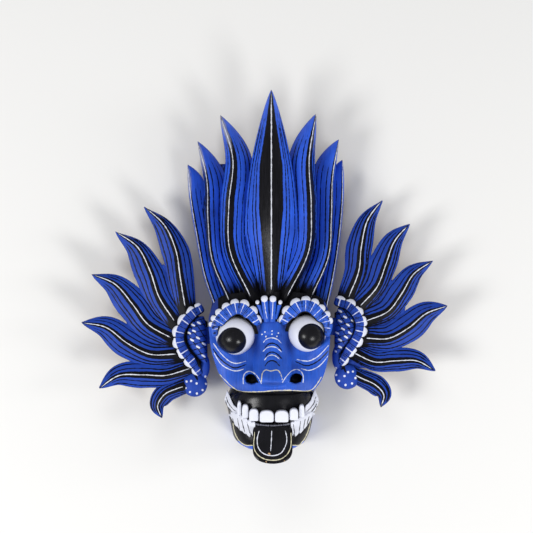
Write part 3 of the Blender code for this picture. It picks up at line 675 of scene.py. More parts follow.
@dataclass(frozen=True)
class Flame:
    """A flame under its ridge, with a striped flank on either side.

    halves are its full widths left and right of the way it grows, fall the drop from its ridge to
    its edges, widest the share of its length from the tip where it is widest, and hook how much
    later its left flank widens. band gives the black beside the ridge, left and right, and
    stripes the dark lines on each flank.
    """

    ridge: Knots
    halves: Place
    fall: float
    widest: float
    band: Place
    band_profile: Knots
    stripes: tuple[int, int]
    line: float = 0.4
    seed: float = 0.0
    root_width: float = 0.78
    start: float = 0.0
    line_start: float = 0.0
    scuff: float = 0.0
    hook: float = 0.0
    stripe: float = 0.33
    rings: int = 120
    columns: int = 81
    tip_rounding: float = 0.8

    def width(self, along: Grid, hook: float = 0.0) -> Grid:
        """Work out how wide the flame is: a sine swell at the tip, a slow taper to the root.

        Args:
            along: shares of its length.
            hook: how much later it widens.

        Returns:
            Shares of its full width.
        """
        widest = self.widest + hook
        swell = np.sin(np.pi / 2 * np.clip((1 - along) / widest, 0, 1))
        rise = np.clip((along - self.start) / (1 - self.widest - self.start), 0, 1) ** 0.75
        return swell ** (self.tip_rounding + hook) * (
            self.root_width + (1 - self.root_width) * rise)

    def shape(self, back: Callable[[Grid, Grid, Grid], Grid]) -> tuple[Grid, Grid, Grid]:
        """Carry the section along the ridge.

        Across a flank the height falls from the ridge to the edge as 0.55(1-s) + 0.45(1-s^2),
        s being the share of its width, which leaves a crease along the ridge. Below the edges
        the sides draw in to a narrower back.

        Args:
            back: gives the height of the back from shares of length, edges and places.

        Returns:
            The rings, how far each point lies left of the ridge, and its share of the length.
        """
        along = self.start + (0.9995 - self.start) * np.linspace(0, 1, self.rings) ** 0.92
        dense = spline(self.ridge, 400)
        place = np.linspace(0, 1, 400)
        before = dense[0] + (dense[20] - dense[0]) * self.start / place[20]
        dense = np.vstack([before, dense])
        place = np.concatenate([[self.start - 1e-6], place])
        path = np.stack([np.interp(along, place, dense[:, k]) for k in range(3)], axis=-1)
        heading = np.gradient(dense[:, :2], place, axis=0)
        heading /= np.linalg.norm(heading, axis=1)[:, None]
        heading = np.stack([np.interp(along, place, heading[:, k]) for k in range(2)], axis=-1)
        side = np.stack([-heading[:, 1], heading[:, 0]], axis=-1)
        width = self.width(along)[:, None]
        left, right = self.halves[0] * self.width(along, self.hook)[:, None], self.halves[1] * width
        top = path[:, 2][:, None]
        edge = top - self.fall * np.sqrt(width)
        low = back(along[:, None], edge, path)

        share = np.linspace(1, -1, self.columns)[None]
        half = np.where(share > 0, left, right)
        drop = 0.55 * (1 - np.abs(share)) + 0.45 * (1 - share ** 2)
        offsets, heights = [share * half], [edge + (top - edge) * drop]
        deep = np.linspace(0.2, 1, 5)[None]
        draw = 1 - 0.3 * deep ** 1.5
        offsets.append(-right * draw)
        heights.append(edge + (low - edge) * deep)
        across = np.linspace(-0.7, 0.7, 8)[None, 1:-1]
        offsets.append(np.where(across > 0, left, right) * across)
        heights.append(low + 0 * across)
        offsets.append((left * draw)[:, ::-1])
        heights.append((edge + (low - edge) * deep)[:, ::-1])
        offset, height = np.hstack(offsets), np.hstack(heights)
        rings = np.dstack([path[:, :1] + side[:, :1] * offset, path[:, 1:2] + side[:, 1:] * offset,
                           height])
        return rings, offset, np.broadcast_to(along[:, None], offset.shape)

    def colours(self, rings: Grid, offset: Grid, along: Grid, root_shade: Place,
                tip_line: float = 0.985) -> Paint:
        """Paint the ridge line, the black beside it and the dark lines of the flanks.

        Each dark line keeps its share of the way from the black band to the edge, so that the
        lines draw together towards the tip and the root.

        Args:
            rings: the flame's points.
            offset: how far each lies left of the ridge.
            along: its share of the length.
            root_shade: shares of the length where the black of the root starts and ends to fade.
            tip_line: share of the length where the ridge line ends.

        Returns:
            The flame's paint.
        """
        paint = Paint.ground(rings)
        reach = np.linalg.norm(np.diff(spline(self.ridge, 60), axis=0), axis=1).sum()
        paint.stroke = np.dstack([offset, along * reach, np.full(offset.shape, self.seed)])
        front = np.zeros(offset.shape, bool)
        front[:, :self.columns] = True
        profile = np.array(self.band_profile)
        band_share = np.interp(along, profile[:, 0], profile[:, 1])
        ends = np.minimum((tip_line - along) * 12, (along - self.line_start) * 60 + 0.5)
        white = self.line * np.clip(ends, -1, 1) - np.abs(offset)
        paint.add("white", np.where(front, white, FAR))
        for turn, half, band, lines in ((1, self.halves[0], self.band[0], self.stripes[0]),
                                        (-1, self.halves[1], self.band[1], self.stripes[1])):
            out = offset * turn
            edge = half * self.width(along, self.hook if turn > 0 else 0.0)
            inner = np.minimum(band * band_share, edge * 0.9)
            here = front & (out >= 0)
            paint.add("black", np.where(here, inner - out, FAR))
            for k in range(lines):
                share = (k + 0.8 + 0.12 * math.sin(5 * self.seed + 3 * k)) / (lines + 0.6)
                middle = inner + (edge - inner) * share
                wander = 0.16 * np.sin(along * 9 + k * 2 + self.seed * 3)
                thick = self.stripe * (1 + 0.25 * np.sin(along * 6 + k + self.seed))
                thick += 0.1 * (1 - along)
                fade = np.clip((0.93 - along) * 8, 0, 1) * np.clip(edge / 3, 0, 1)
                paint.add("black", np.where(here, thick * fade - np.abs(out - middle - wander)
                                            - (1 - fade) * 0.3, FAR))
            # Thin black along the edge: dark paint in the groove between flames, and painted shade
            paint.add("black", np.where(here, out - edge + 0.14, FAR))
        start, end = root_shade
        paint.shade = np.where(front, 1 - smoothstep((along - start) / (end - start)), 0.0)
        if self.scuff:
            rub = np.exp(-((along - 0.9) / 0.1) ** 2 - (offset / 1.8) ** 2)
            paint.scuff = np.where(front, self.scuff * rub, 0.0)
        paint.black = np.where(front, paint.black, FAR)
        back = np.zeros(offset.shape, bool)
        back[:, self.columns + 4:-5] = True
        paint.bare = np.where(back, 0.8, FAR)
        return paint


# Crest

CREST_BAND = ((0, 0.42), (0.2, 0.72), (0.4, 1.0), (0.62, 0.95), (0.8, 0.5), (0.95, 0.16), (1, 0))
SIDE_BAND = ((0, 1.0), (0.3, 1.0), (0.6, 1.0), (0.85, 0.6), (1, 0.1))


@dataclass
class Crest:
    """Seven flames over a core, flat behind and sloping forward towards the tips."""

    slope_start: float = 92.0
    slope: float = math.tan(math.radians(14))
    lift_start: float = 0.42
    lift_end: float = 0.75
    tip_thickness: float = 4.8
    root_shade: Place = (-0.08, 0.17)
    core_grooves: int = 26
    # Middle and half size in pixels of the black over each eye and over the bridge
    core_blacks: Knots = ((236, 338, 31, 43), (307, 336, 30, 45), (268, 305, 17, 13))
    core_rows: Knots = (
        (22, 42, 42, 33, 1.9), (44, 47, 46, 35, 1.9), (72, 51, 49, 34, 1.9),
        (100, 55, 52, 31, 1.9), (120, 53, 51, 25, 1.9), (132, 48, 47, 17, 2),
        (142, 43, 41, 12.4, 2.2))
    flames: tuple[Flame, ...] = (
        Flame(((1, 36, 44), (1, 81, 55), (1, 119.5, 56), (1, 158.5, 52), (1, 198.5, 47)),
              (21, 21), 15, 0.72, (9.8, 9.4), CREST_BAND, (3, 3), 0.42, 0.3, 0.34, -0.04, 0.03,
              rings=160, columns=105),
        Flame(((-16, 36, 43), (-31.5, 71, 48), (-32.5, 107.5, 47), (-29.5, 144, 43),
               (-39.5, 179, 40)), (7, 17), 13, 0.38, (2.9, 4.3), SIDE_BAND, (1, 3), 0.31, 1.1,
              start=-0.04, scuff=1.0),
        Flame(((14, 36, 43), (30.5, 71, 48), (32.5, 107, 47), (31, 143.5, 43), (36.5, 180, 40)),
              (17, 5), 13, 0.30, (3.4, 3.4), SIDE_BAND, (3, 1), 0.31, 2.3,
              start=-0.04),
        Flame(((-33, 33, 38), (-46, 64, 37), (-49.5, 96, 34), (-50.5, 128, 32), (-58, 159, 31)),
              (3, 16), 11, 0.32, (1.8, 2.0), SIDE_BAND, (1, 3), 0.29, 3.7,
              start=-0.06, scuff=0.9),
        Flame(((33.5, 36, 38), (46.5, 66.5, 37), (49, 98, 34), (50, 129.5, 32), (55, 160.5, 31)),
              (16, 2), 11, 0.24, (2.0, 1.4), SIDE_BAND, (3, 0), 0.29, 4.9,
              start=-0.06),
        Flame(((-42.5, 24, 34), (-52.5, 52, 25), (-58.5, 81.5, 20), (-63.5, 111, 19),
               (-66.5, 141, 19)), (1.5, 12), 6, 0.14, (0.4, 1.6), SIDE_BAND, (0, 2), 0.26, 5.2,
              start=-0.09, scuff=0.9),
        Flame(((45, 25.5, 34), (51.5, 55, 25), (56, 84.5, 20), (58.5, 115, 19), (58.5, 145, 19)),
              (12, 1.5), 6, 0.14, (1.6, 0.4), SIDE_BAND, (2, 0), 0.26, 6.4,
              start=-0.09),
    )

    def behind(self, height: Grid) -> Grid:
        """Return how far forward the back of the crest lies at a height up the mask."""
        return np.clip(height - self.slope_start, 0, None) * self.slope

    def back(self, along: Grid, edge: Grid, path: Grid) -> Grid:
        """Work out the back of a flame: on the flat back below, lifting to a thin tip.

        Args:
            along: shares of the flame's length.
            edge: heights of its edges.
            path: points of its ridge.

        Returns:
            Heights of its back.
        """
        lift = smoothstep((along - self.lift_start) / (self.lift_end - self.lift_start))
        flat = self.behind(path[:, 1:2])
        return np.minimum(np.maximum(flat, (edge - self.tip_thickness) * lift), edge - 1.5)

    def core(self, shop: Workshop) -> None:
        """Make the core: arched rows whose back follows the flat and the slope.

        Args:
            shop: makes the pieces.
        """
        height = np.linspace(22, 142, 121)
        left, right, front, power = read_rows(self.core_rows, height)
        angle = np.linspace(math.pi, 0, 121)[None]
        reach = squircle(angle, power)
        x = np.where(np.cos(angle) < 0, left, right) * np.cos(angle) * reach
        floor = self.behind(height)[:, None]
        base = np.minimum(12.0, front - 1)
        z = np.maximum(base + (front - base) * np.sin(angle) * reach, floor + 0.2)
        across = np.linspace(1, -1, 12)[None, 1:-1]
        low_x = np.where(across > 0, right, left) * across
        rings = np.dstack([np.hstack([x[:, :1], x, x[:, -1:], low_x]),
                           np.broadcast_to(height[:, None], (121, 121 + 12)),
                           np.hstack([floor, z, floor, floor + 0 * low_x])])
        paint = Paint.ground(rings, Brush.CORE)
        spread = x / (left + right) * self.core_grooves
        away = np.abs(spread - np.round(spread)) * (left + right) / self.core_grooves
        paint.black[:, 1:122] = 0.4 - away
        paint.stroke[:, 1:122, 0] = spread * 3
        paint.shade[:, :122] = 0.4 + 0.6 * np.clip(1.0 - (height[:, None] - 34) / 10, 0.0, 1)
        view = Carver.seen(rings)
        for mid_x, mid_y, wide, tall in self.core_blacks:
            paint.add("black", oval(view, (mid_x, mid_y), (wide, tall)))
        paint.bare[:, 123:] = 1.0
        shop.add("crest_core", rings, paint, CREST_FINISH)

    def build(self, shop: Workshop) -> None:
        """Make the core and the seven flames.

        Args:
            shop: makes the pieces.
        """
        self.core(shop)
        for k, flame in enumerate(self.flames):
            rings, offset, along = flame.shape(self.back)
            paint = flame.colours(rings, offset, along, self.root_shade)
            shop.add(f"crest_flame_{k}", rings, paint, CREST_FINISH)


# Scalloped bands

@dataclass(frozen=True)
class ScallopedBand:
    """A flattened tube whose outer side bulges in scallops, as on the brows and ears.

    inset runs from the middles of the scallops in to the middle of the tube, half is half its
    width, and taper gives the share of its size at its first and last ends. The tube reaches its
    full size grow scallops after its start, and the flat inner sides of the white caps lie
    cap_sink inside their middles.
    """

    front: float
    half: float
    inset: float
    rise: float
    depth: float
    cap: float
    taper: Place
    swell: float = 1.5
    stations: int = 20
    corners: int = 52
    grow: float = 1.6
    cap_sink: float = 1.3

    def shape(self, caps: Grid, tail: Grid) -> tuple[Grid, Grid, Grid, Grid]:
        """Carry the tube past the scallops.

        Its path runs through the tail and the middles of the scallops. At each station the
        section goes round an angle: outwards by half its cosine plus the swell of the scallop,
        which follows |sin| along it, and forwards by the sine.

        Args:
            caps: middles of the scallops, in order.
            tail: points that carry the band on before the first of them; may be empty.

        Returns:
            The rings, the place along the scallops, the way out from the tube's middle in
            millimetres, and the length of a scallop there.
        """
        before = [2 * caps[0] - caps[1]] if not len(tail) else [2 * tail[0] - tail[1]]
        knots = np.vstack([before, *([tail] if len(tail) else []), caps, 2 * caps[-1] - caps[-2]])
        lead = 1 + len(tail)
        start, end = (1.0 if len(tail) else 0.5), len(knots) - 1.5
        place = np.linspace(start, end, int((end - start) * self.stations) + 1)
        path = spline_at(knots, place)
        along = (place - lead + 0.5)[:, None]
        step = np.gradient(path, place, axis=0)
        pitch = np.linalg.norm(step, axis=1)[:, None]
        out = np.stack([-step[:, 1], step[:, 0]], axis=-1) / pitch
        if ((path - path.mean(0)) * out).sum() < 0:
            out = -out
        first, last = along[0, 0], along[-1, 0]
        size = np.interp(along, [first, first + self.grow, last - 1.6, last],
                         [self.taper[0], 1, 1, self.taper[1]])
        close = np.clip(np.minimum(along - along[0], along[-1] - along) * 5, 0.03, 1) ** 0.5
        lobe = np.where(along > 0, np.abs(np.sin(np.pi * along)), 0.55) - 0.6
        bend = np.linspace(0, 2 * np.pi, self.corners, endpoint=False)[None]
        outer = smoothstep((np.cos(bend) - 0.2) / 0.8)
        reach = self.half * np.sign(np.cos(bend)) * np.abs(np.cos(bend)) ** 0.8
        reach = (reach + self.swell * lobe * outer) * size
        high = np.where(np.sin(bend) > 0, self.rise * size, self.depth) * np.sin(bend)
        groove = 1.3 * outer * np.clip(-lobe - 0.35, 0, 1) * (np.sin(bend) > 0)
        shrink = 0.6 + 0.4 * close
        lateral = reach * shrink - self.inset * size
        rings = np.dstack([path[:, :1] + out[:, :1] * lateral, path[:, 1:] + out[:, 1:] * lateral,
                           self.front + (high - groove) * close])
        return rings, along + 0 * reach, reach / size, pitch * size + 0 * reach

    def paint(self, paint: Paint, along: Grid, out: Grid, pitch: Grid) -> None:
        """Paint white scallops, fine radial lines of white and black, and a black inner edge.

        Args:
            paint: the band's paint.
            along: places along the scallops.
            out: the way out from the tube's middle.
            pitch: the length of a scallop.
        """
        within = along > 0
        middle = ((along % 1) - 0.5) * pitch
        paint.stroke = np.dstack([along * 8, out, np.full(out.shape, Brush.BAND.value)])
        floor = self.inset - self.cap_sink
        cap = 1 - np.hypot(middle / (0.46 * pitch), (out - floor) / self.cap)
        paint.add("white", np.where(within, np.minimum(cap * self.cap * 0.8, out - floor), FAR))
        border = out > floor
        paint.add("black", np.where(border & within, 0.3 - cap * 2.4, FAR))
        inner = -self.half + 1.1
        lined = ~border & (out > inner)
        paint.add("white", np.where(lined, 0.035 * pitch - np.abs(middle), FAR))
        for share in (-0.36, -0.18, 0.18, 0.36):
            paint.add("black", np.where(lined & (out > inner + 1), 0.022 * pitch - np.abs(
                middle - share * pitch), FAR))
        paint.add("black", np.where(lined, 0.03 * pitch - np.abs(np.abs(middle) - pitch / 2),
                                    FAR))
        paint.add("black", inner - out)


# Ears

EAR_BAND_PROFILE = ((0, 1.5), (0.3, 1.15), (0.6, 0.95), (0.85, 0.6), (0.96, 0.25), (1, 0))


@dataclass
class Ear:
    """An ear: a plank of flames round a scalloped band, an inner oval and a dotted lobe.

    It is laid out with x outwards from the side of the face, y up the mask and z forward from
    the middle of the plank, then mirrored to its side, leant forward and set at its tenon.
    """

    side: Side
    anchor: Spot
    ridges: Ridges                # ridge of each flame, its half widths above and below
    web: Knots
    caps: Knots
    dashes: Knots
    lobe_dots: Knots
    curl: Knots
    line_starts: tuple[float, ...] = (0.0, 0.0, 0.0, 0.0, 0.0, 0.16)
    hooks: tuple[float, ...] = (0.3, 0.3, 0.2, 0.04, 0.0, 0.0)
    fuller: tuple[float, ...] = (2.0, 2.0, 1.0, -1.5, -1.5, 0.0)
    web_inset: float = 6.5
    lean: float = math.radians(8)
    plank: float = 8.5
    edge: float = 3.5
    fall: float = 5.0
    rise: float = 4.5
    band: ScallopedBand = ScallopedBand(6.2, 5.2, 3.2, 4.2, 4.0, 3.0, (0.8, 0.6), 1.2, 18, 48,
                                        cap_sink=0.6)
    inner_rows: Knots = ((15.5, 1.5, 4.5, 1.5), (12, 0.4, 10.5, 4), (6, -0.4, 14.2, 5.5),
                         (-1, -0.9, 15.4, 6), (-8, -1.2, 13.6, 5.5), (-15, -1.4, 8.8, 4.5),
                         (-22, -1.5, 2.6, 2.5), (-25, -1.5, 0.5, 1))
    inner_shift: float = 1.2
    neck_shift: float = 0.0
    lobe_centre: Place = (9.9, -39.2)
    lobe_radius: float = 10.2
    tip_drop: float = 3.0
    black_width: float = 2.7
    root_shade: Place = (-0.12, 0.13)
    # Slope in degrees and gap in pixels of the two sets of lines across the inner oval
    hatching: Knots = ((14, 5.6), (-56, 6.2))
    dash_reach: Place = (1.5, 0.9)
    neck: Knots = ((1.0, -16.0, 3.0), (1.6, -24.0, 4.2), (3.0, -32.0, 4.2), (6.5, -39.0, 2.5))
    neck_half: Place = (4.1, 4.4)
    tenon_half: Place = (7.0, 3.0)
    # Places along the tenon and its share of full size there
    tenon_rows: Knots = ((-11.8, 0.9), (-11.5, 0.98), (-2.5, 1.0), (0.0, 1.0), (3.0, 1.0),
                         (5.5, 0.9))

    def name(self) -> str:
        """Return the ear's own name."""
        return f"ear_{self.side.name.lower()}"

    def set_on(self, local: Grid) -> Grid:
        """Return points of the ear in the carver's frame.

        The ear turns about its tenon, so that points further out come forward.

        Args:
            local: points as the ear is laid out.

        Returns:
            The same points in place.
        """
        x, y, z = local[..., 0], local[..., 1], local[..., 2]
        out = x * math.cos(self.lean) - z * math.sin(self.lean)
        up = x * math.sin(self.lean) + z * math.cos(self.lean)
        return np.stack([self.anchor[0] + self.side.value * out, self.anchor[1] + y,
                         self.anchor[2] + up], axis=-1)

    def from_pixels(self, pixels: Knots, height: float) -> Grid:
        """Find the points of the ear, at one height of its own, that show at given pixels.

        The height above the back of the mask depends on the way out along the leaning ear, so
        it is found in a few turns.

        Args:
            pixels: places in the photograph.
            height: height as the ear is laid out.

        Returns:
            Their x and y as the ear is laid out.
        """
        level = np.full(len(pixels), self.anchor[2] + height)
        for _turn in range(4):
            seen = np.array([Carver.at_pixels(spot, up) for spot, up in zip(pixels, level)])
            out = (self.side.value * (seen[:, 0] - self.anchor[0])
                   + height * math.sin(self.lean)) / math.cos(self.lean)
            level = self.anchor[2] + out * math.sin(self.lean) + height * math.cos(self.lean)
        return np.column_stack([out, seen[:, 1] - self.anchor[1]])

    def add(self, shop: Workshop, part: str, local: Grid, paint: Paint) -> None:
        """Make one piece of the ear."""
        shop.add(f"{self.name()}_{part}", self.set_on(local), paint, EAR_FINISH, self.name(),
                 f"{self.name()}_paint")

    def plank_back(self, along: Grid, edge: Grid, _path: Grid) -> Grid:
        """Return the flat back of the plank, thinner only at the edges of a flame."""
        return np.minimum(-self.plank / 2, edge - self.edge) + 0 * along

    def flames(self, shop: Workshop) -> None:
        """Make the ear's six flames, a little lower at their tips.

        Args:
            shop: makes the pieces.
        """
        top = self.plank / 2 + self.rise
        for k, (ridge, above, below) in enumerate(self.ridges):
            heights = np.linspace(top, top - self.tip_drop, len(ridge))
            raised = tuple((x, y, z) for (x, y), z in zip(ridge, heights))
            seed = k + 0.37 * self.side.value + Brush.EAR_FLAME.value
            flame = Flame(raised, halves=(above, below + self.fuller[k]), fall=self.fall,
                          widest=0.5, band=(self.black_width, self.black_width),
                          band_profile=EAR_BAND_PROFILE, stripes=(2, 2), line=0.33, seed=seed,
                          root_width=0.55, start=-0.13, line_start=self.line_starts[k],
                          hook=self.hooks[k], stripe=0.42, rings=96, columns=69)
            rings, offset, along = flame.shape(self.plank_back)
            paint = flame.colours(rings, offset, along, self.root_shade)
            self.add(shop, f"flame_{k}", rings, paint)

    def webs(self, shop: Workshop) -> None:
        """Make the web of the plank, an outline with rounded edges.

        Args:
            shop: makes the pieces.
        """
        notches = np.array(self.web)
        notches *= 1 - self.web_inset / np.linalg.norm(notches, axis=1)[:, None]
        side = self.inner_shift - 1.7
        corners = np.array([(9 + side, 17), *notches, (9, -33), (side, -30), (side, 11),
                            (9 + side, 17)])
        outline = np.stack([np.interp(np.linspace(0, len(corners) - 1, 181)[:-1],
                                      np.arange(len(corners)), corners[:, k])
                            for k in range(2)], axis=-1)
        middle = outline.mean(0)
        half, front = self.plank / 2, self.plank / 2 + self.rise - self.fall - 1.2
        levels = ((0.05, -half + 0.3), (0.98, -half + 0.3), (1.0, -half + 0.9),
                  (1.0, front - 0.6), (0.99, front), *((k, front) for k in
                                                      np.linspace(0.94, 0.04, 14)))
        rings = np.array([np.column_stack([middle + (outline - middle) * k,
                                           np.full(len(outline), z)]) for k, z in levels])
        paint = Paint.ground(rings, Brush.WEB)
        paint.shade = smoothstep((34 - np.hypot(rings[..., 0], rings[..., 1])) / 12)
        paint.bare[:2] = 1.0
        self.add(shop, "web", rings, paint)

    def scallops(self, shop: Workshop) -> None:
        """Make the scalloped band.

        Args:
            shop: makes the pieces.
        """
        local, along, out, pitch = self.band.shape(self.from_pixels(self.caps, self.band.front),
                                                   np.empty((0, 2)))
        paint = Paint.ground(local)
        self.band.paint(paint, along, out, pitch)
        self.add(shop, "band", local, paint)

    def inner(self, shop: Workshop) -> None:
        """Make the inner oval, domed rows between the side of the face and the band.

        Args:
            shop: makes the pieces.
        """
        height = np.linspace(15.3, -24.8, 90)
        left, right, rise = read_rows(self.inner_rows, height)
        angle = np.linspace(math.pi, 0, 61)[None]
        reach = squircle(angle, 2.3)
        middle, half = (left + right) / 2 + self.inner_shift, (right - left) / 2
        x = middle + half * np.cos(angle) * reach
        z = self.plank / 2 - 1 + (rise + 1) * np.sin(angle) * reach
        local = np.dstack([np.hstack([x, x[:, -1:], x[:, :1]]),
                           np.broadcast_to(height[:, None], (90, 63)),
                           np.hstack([z, np.full((90, 2), -self.plank / 2 + 0.4)])])
        paint = Paint.ground(local, Brush.INNER)
        view = Carver.seen(self.set_on(local))
        for turn, gap in self.hatching:
            slope = math.radians(turn)
            across = (view[..., 1] * math.cos(slope) + view[..., 0] * math.sin(slope)) / gap
            away = np.abs(across - np.round(across)) * gap
            paint.add("black", (0.42 - away) * PIXEL)
        run, drop = self.dash_reach
        for x_pixel, y_pixel in self.dashes:
            line = ((x_pixel - run, y_pixel - drop), (x_pixel + run, y_pixel + drop))
            paint.add("white", brush_line(view, line, 1.9))
        self.add(shop, "inner", local, paint)

    def lobe(self, shop: Workshop) -> None:
        """Make the lobe, a flattened ball, and the neck that joins it to the inner oval.

        Args:
            shop: makes the pieces.
        """
        polar = np.linspace(0.02, math.pi - 0.02, 60)[:, None]
        turn = np.linspace(0, 2 * np.pi, 96, endpoint=False)[None]
        radius = self.lobe_radius * np.sin(polar) ** 0.8
        z = np.where(np.cos(polar) > 0, 8.0, 6.0) * np.cos(polar)
        local = np.dstack([self.lobe_centre[0] + radius * np.cos(turn),
                           self.lobe_centre[1] + radius * np.sin(turn), z + 0 * turn + 2.6])
        paint = self.lobe_paint(local)
        self.add(shop, "lobe", local, paint)
        path = spline(self.neck, 60)
        bend = np.linspace(0, 2 * np.pi, 48, endpoint=False)[None]
        thick = np.sin(np.linspace(0.06, np.pi - 0.06, 60))[:, None] ** 0.5
        middle = path[:, :1] + self.neck_shift
        wide, deep = self.neck_half
        local = np.dstack([middle + wide * np.cos(bend) * thick, path[:, 1:2] + 0 * bend,
                           path[:, 2:] - 1 + deep * np.sin(bend) * thick])
        self.add(shop, "neck", local, self.lobe_paint(local))

    def lobe_paint(self, local: Grid) -> Paint:
        """Paint the row of dots and the dark curl of the lobe.

        Args:
            local: points of the lobe or its neck, as the ear is laid out.

        Returns:
            Their paint.
        """
        paint = Paint.ground(local, Brush.LOBE)
        view = Carver.seen(self.set_on(local))
        paint.add("white", dots(view, self.lobe_dots, 1.15))
        paint.add("black", brush_line(view, self.curl, 2.2, 0.6))
        paint.bare = np.where(local[..., 2] < -4, 1.0, FAR)
        return paint

    def tenon(self, shop: Workshop) -> None:
        """Make the tenon, a squared bar from the plank into the side of the face.

        Args:
            shop: makes the pieces.
        """
        turn = np.linspace(0, 2 * np.pi, 64, endpoint=False)[None]
        reach = squircle(turn, 8.0)
        stations, size = np.array(self.tenon_rows).T[:, :, None]
        tall, deep = self.tenon_half
        local = np.dstack([stations + 0 * turn, tall * np.cos(turn) * reach * size,
                           deep * np.sin(turn) * reach * size])
        paint = Paint.ground(local, Brush.TENON)
        paint.bare = np.where(local[..., 0] < -1.4, 1.0, FAR)
        paint.shade = np.full(local.shape[:2], 0.25)
        self.add(shop, "tenon", local, paint)

    def build(self, shop: Workshop) -> None:
        """Make every piece of the ear.

        Args:
            shop: makes the pieces.
        """
        self.webs(shop)
        self.flames(shop)
        self.scallops(shop)
        self.inner(shop)
        self.lobe(shop)
        self.tenon(shop)


LEFT_EAR = Ear(
    Side.LEFT, (-51.2, 3.2, 17.0),
    ((((18.5, 25), (22, 46.5), (25.5, 68.5), (34.5, 88.5), (50.5, 103.5)), 13.5, 9.5),
     (((27.5, 13), (39, 31), (46, 51.5), (56, 71), (73.5, 83.5)), 14, 11),
     (((30.5, -1), (48, 9.5), (60.5, 26), (74, 41.5), (92.5, 49.5)), 15, 12),
     (((26, -14.5), (46, -14.5), (64.5, -5.5), (81, 7), (100.5, 11)), 13, 13.5),
     (((15.5, -26.5), (33.5, -31.5), (52, -31), (71, -31.5), (86.5, -41.5)), 11, 12.5),
     (((13, -39), (24, -42), (34.5, -46.8), (40, -56), (36.5, -66)), 8, 8.5)),
    ((38.4, 63.2), (57.4, 40.8), (71.5, 16), (66.3, -19.2), (41.2, -40.8)),
    ((197.5, 305.5), (190, 309.5), (181, 319), (175, 331), (175, 343), (180, 354), (187.5, 363.5),
     (195, 373)),
    ((199, 323), (193, 325), (194, 331), (189, 333), (198, 338), (192, 340), (204, 344),
     (198, 347), (203.5, 356)),
    ((205.5, 376.5), (206, 384), (202.5, 390), (197, 393.5), (190, 392), (185.5, 388),
     (186.5, 381.5), (191, 381), (196.5, 383.5)),
    ((192.5, 372.5), (196, 376.5), (197.5, 380)))

RIGHT_EAR = Ear(
    Side.RIGHT, (50.4, 10.4, 17.0),
    ((((14.5, 25), (22, 44.5), (24.2, 65), (29, 85.5), (40.5, 101.5)), 14, 10),
     (((24, 17.5), (36.7, 32), (43.7, 50), (50.5, 68.5), (62.5, 82.5)), 14.5, 9.5),
     (((28.5, 5), (45.5, 12.5), (56.5, 27), (66, 42.5), (81, 53)), 14, 9.5),
     (((28.5, -9), (46, -9), (62, -0.5), (76, 11), (92.5, 17)), 13, 13),
     (((19.5, -21.5), (35, -28), (51.5, -27), (68.5, -27), (83, -35)), 10.5, 10),
     (((13.5, -36), (24, -41), (35.5, -46.5), (42, -54.5), (39.5, -64.5)), 8, 8.5)),
    ((32.3, 65.6), (50.9, 44.8), (65.4, 22.4), (62.2, -16), (43.6, -37.6)),
    ((341, 298.5), (351.5, 302), (360, 310.5), (364.8, 321), (364.3, 332), (360, 342.5),
     (353, 352.5), (345.5, 362)),
    ((340, 311), (345, 317), (353, 321), (340, 321), (348, 325), (343, 329), (337, 333),
     (350, 333), (346, 337), (340, 340), (340, 347), (335, 351)),
    ((336, 368), (336, 375), (339, 381), (345.5, 385), (352, 383.5), (355.5, 378),
     (353, 371.5), (348, 372), (344.5, 376)),
    ((341.5, 363), (344, 368), (345.5, 372)),
    hooks=(0.2, 0.1, 0.15, 0.0, 0.0, 0.0), fuller=(-1.4, -1.0, -1.0, -1.5, -1.0, 0.0),
    inner_shift=3.6, neck_shift=2.4, lobe_centre=(12.2, -40.3))


# Face

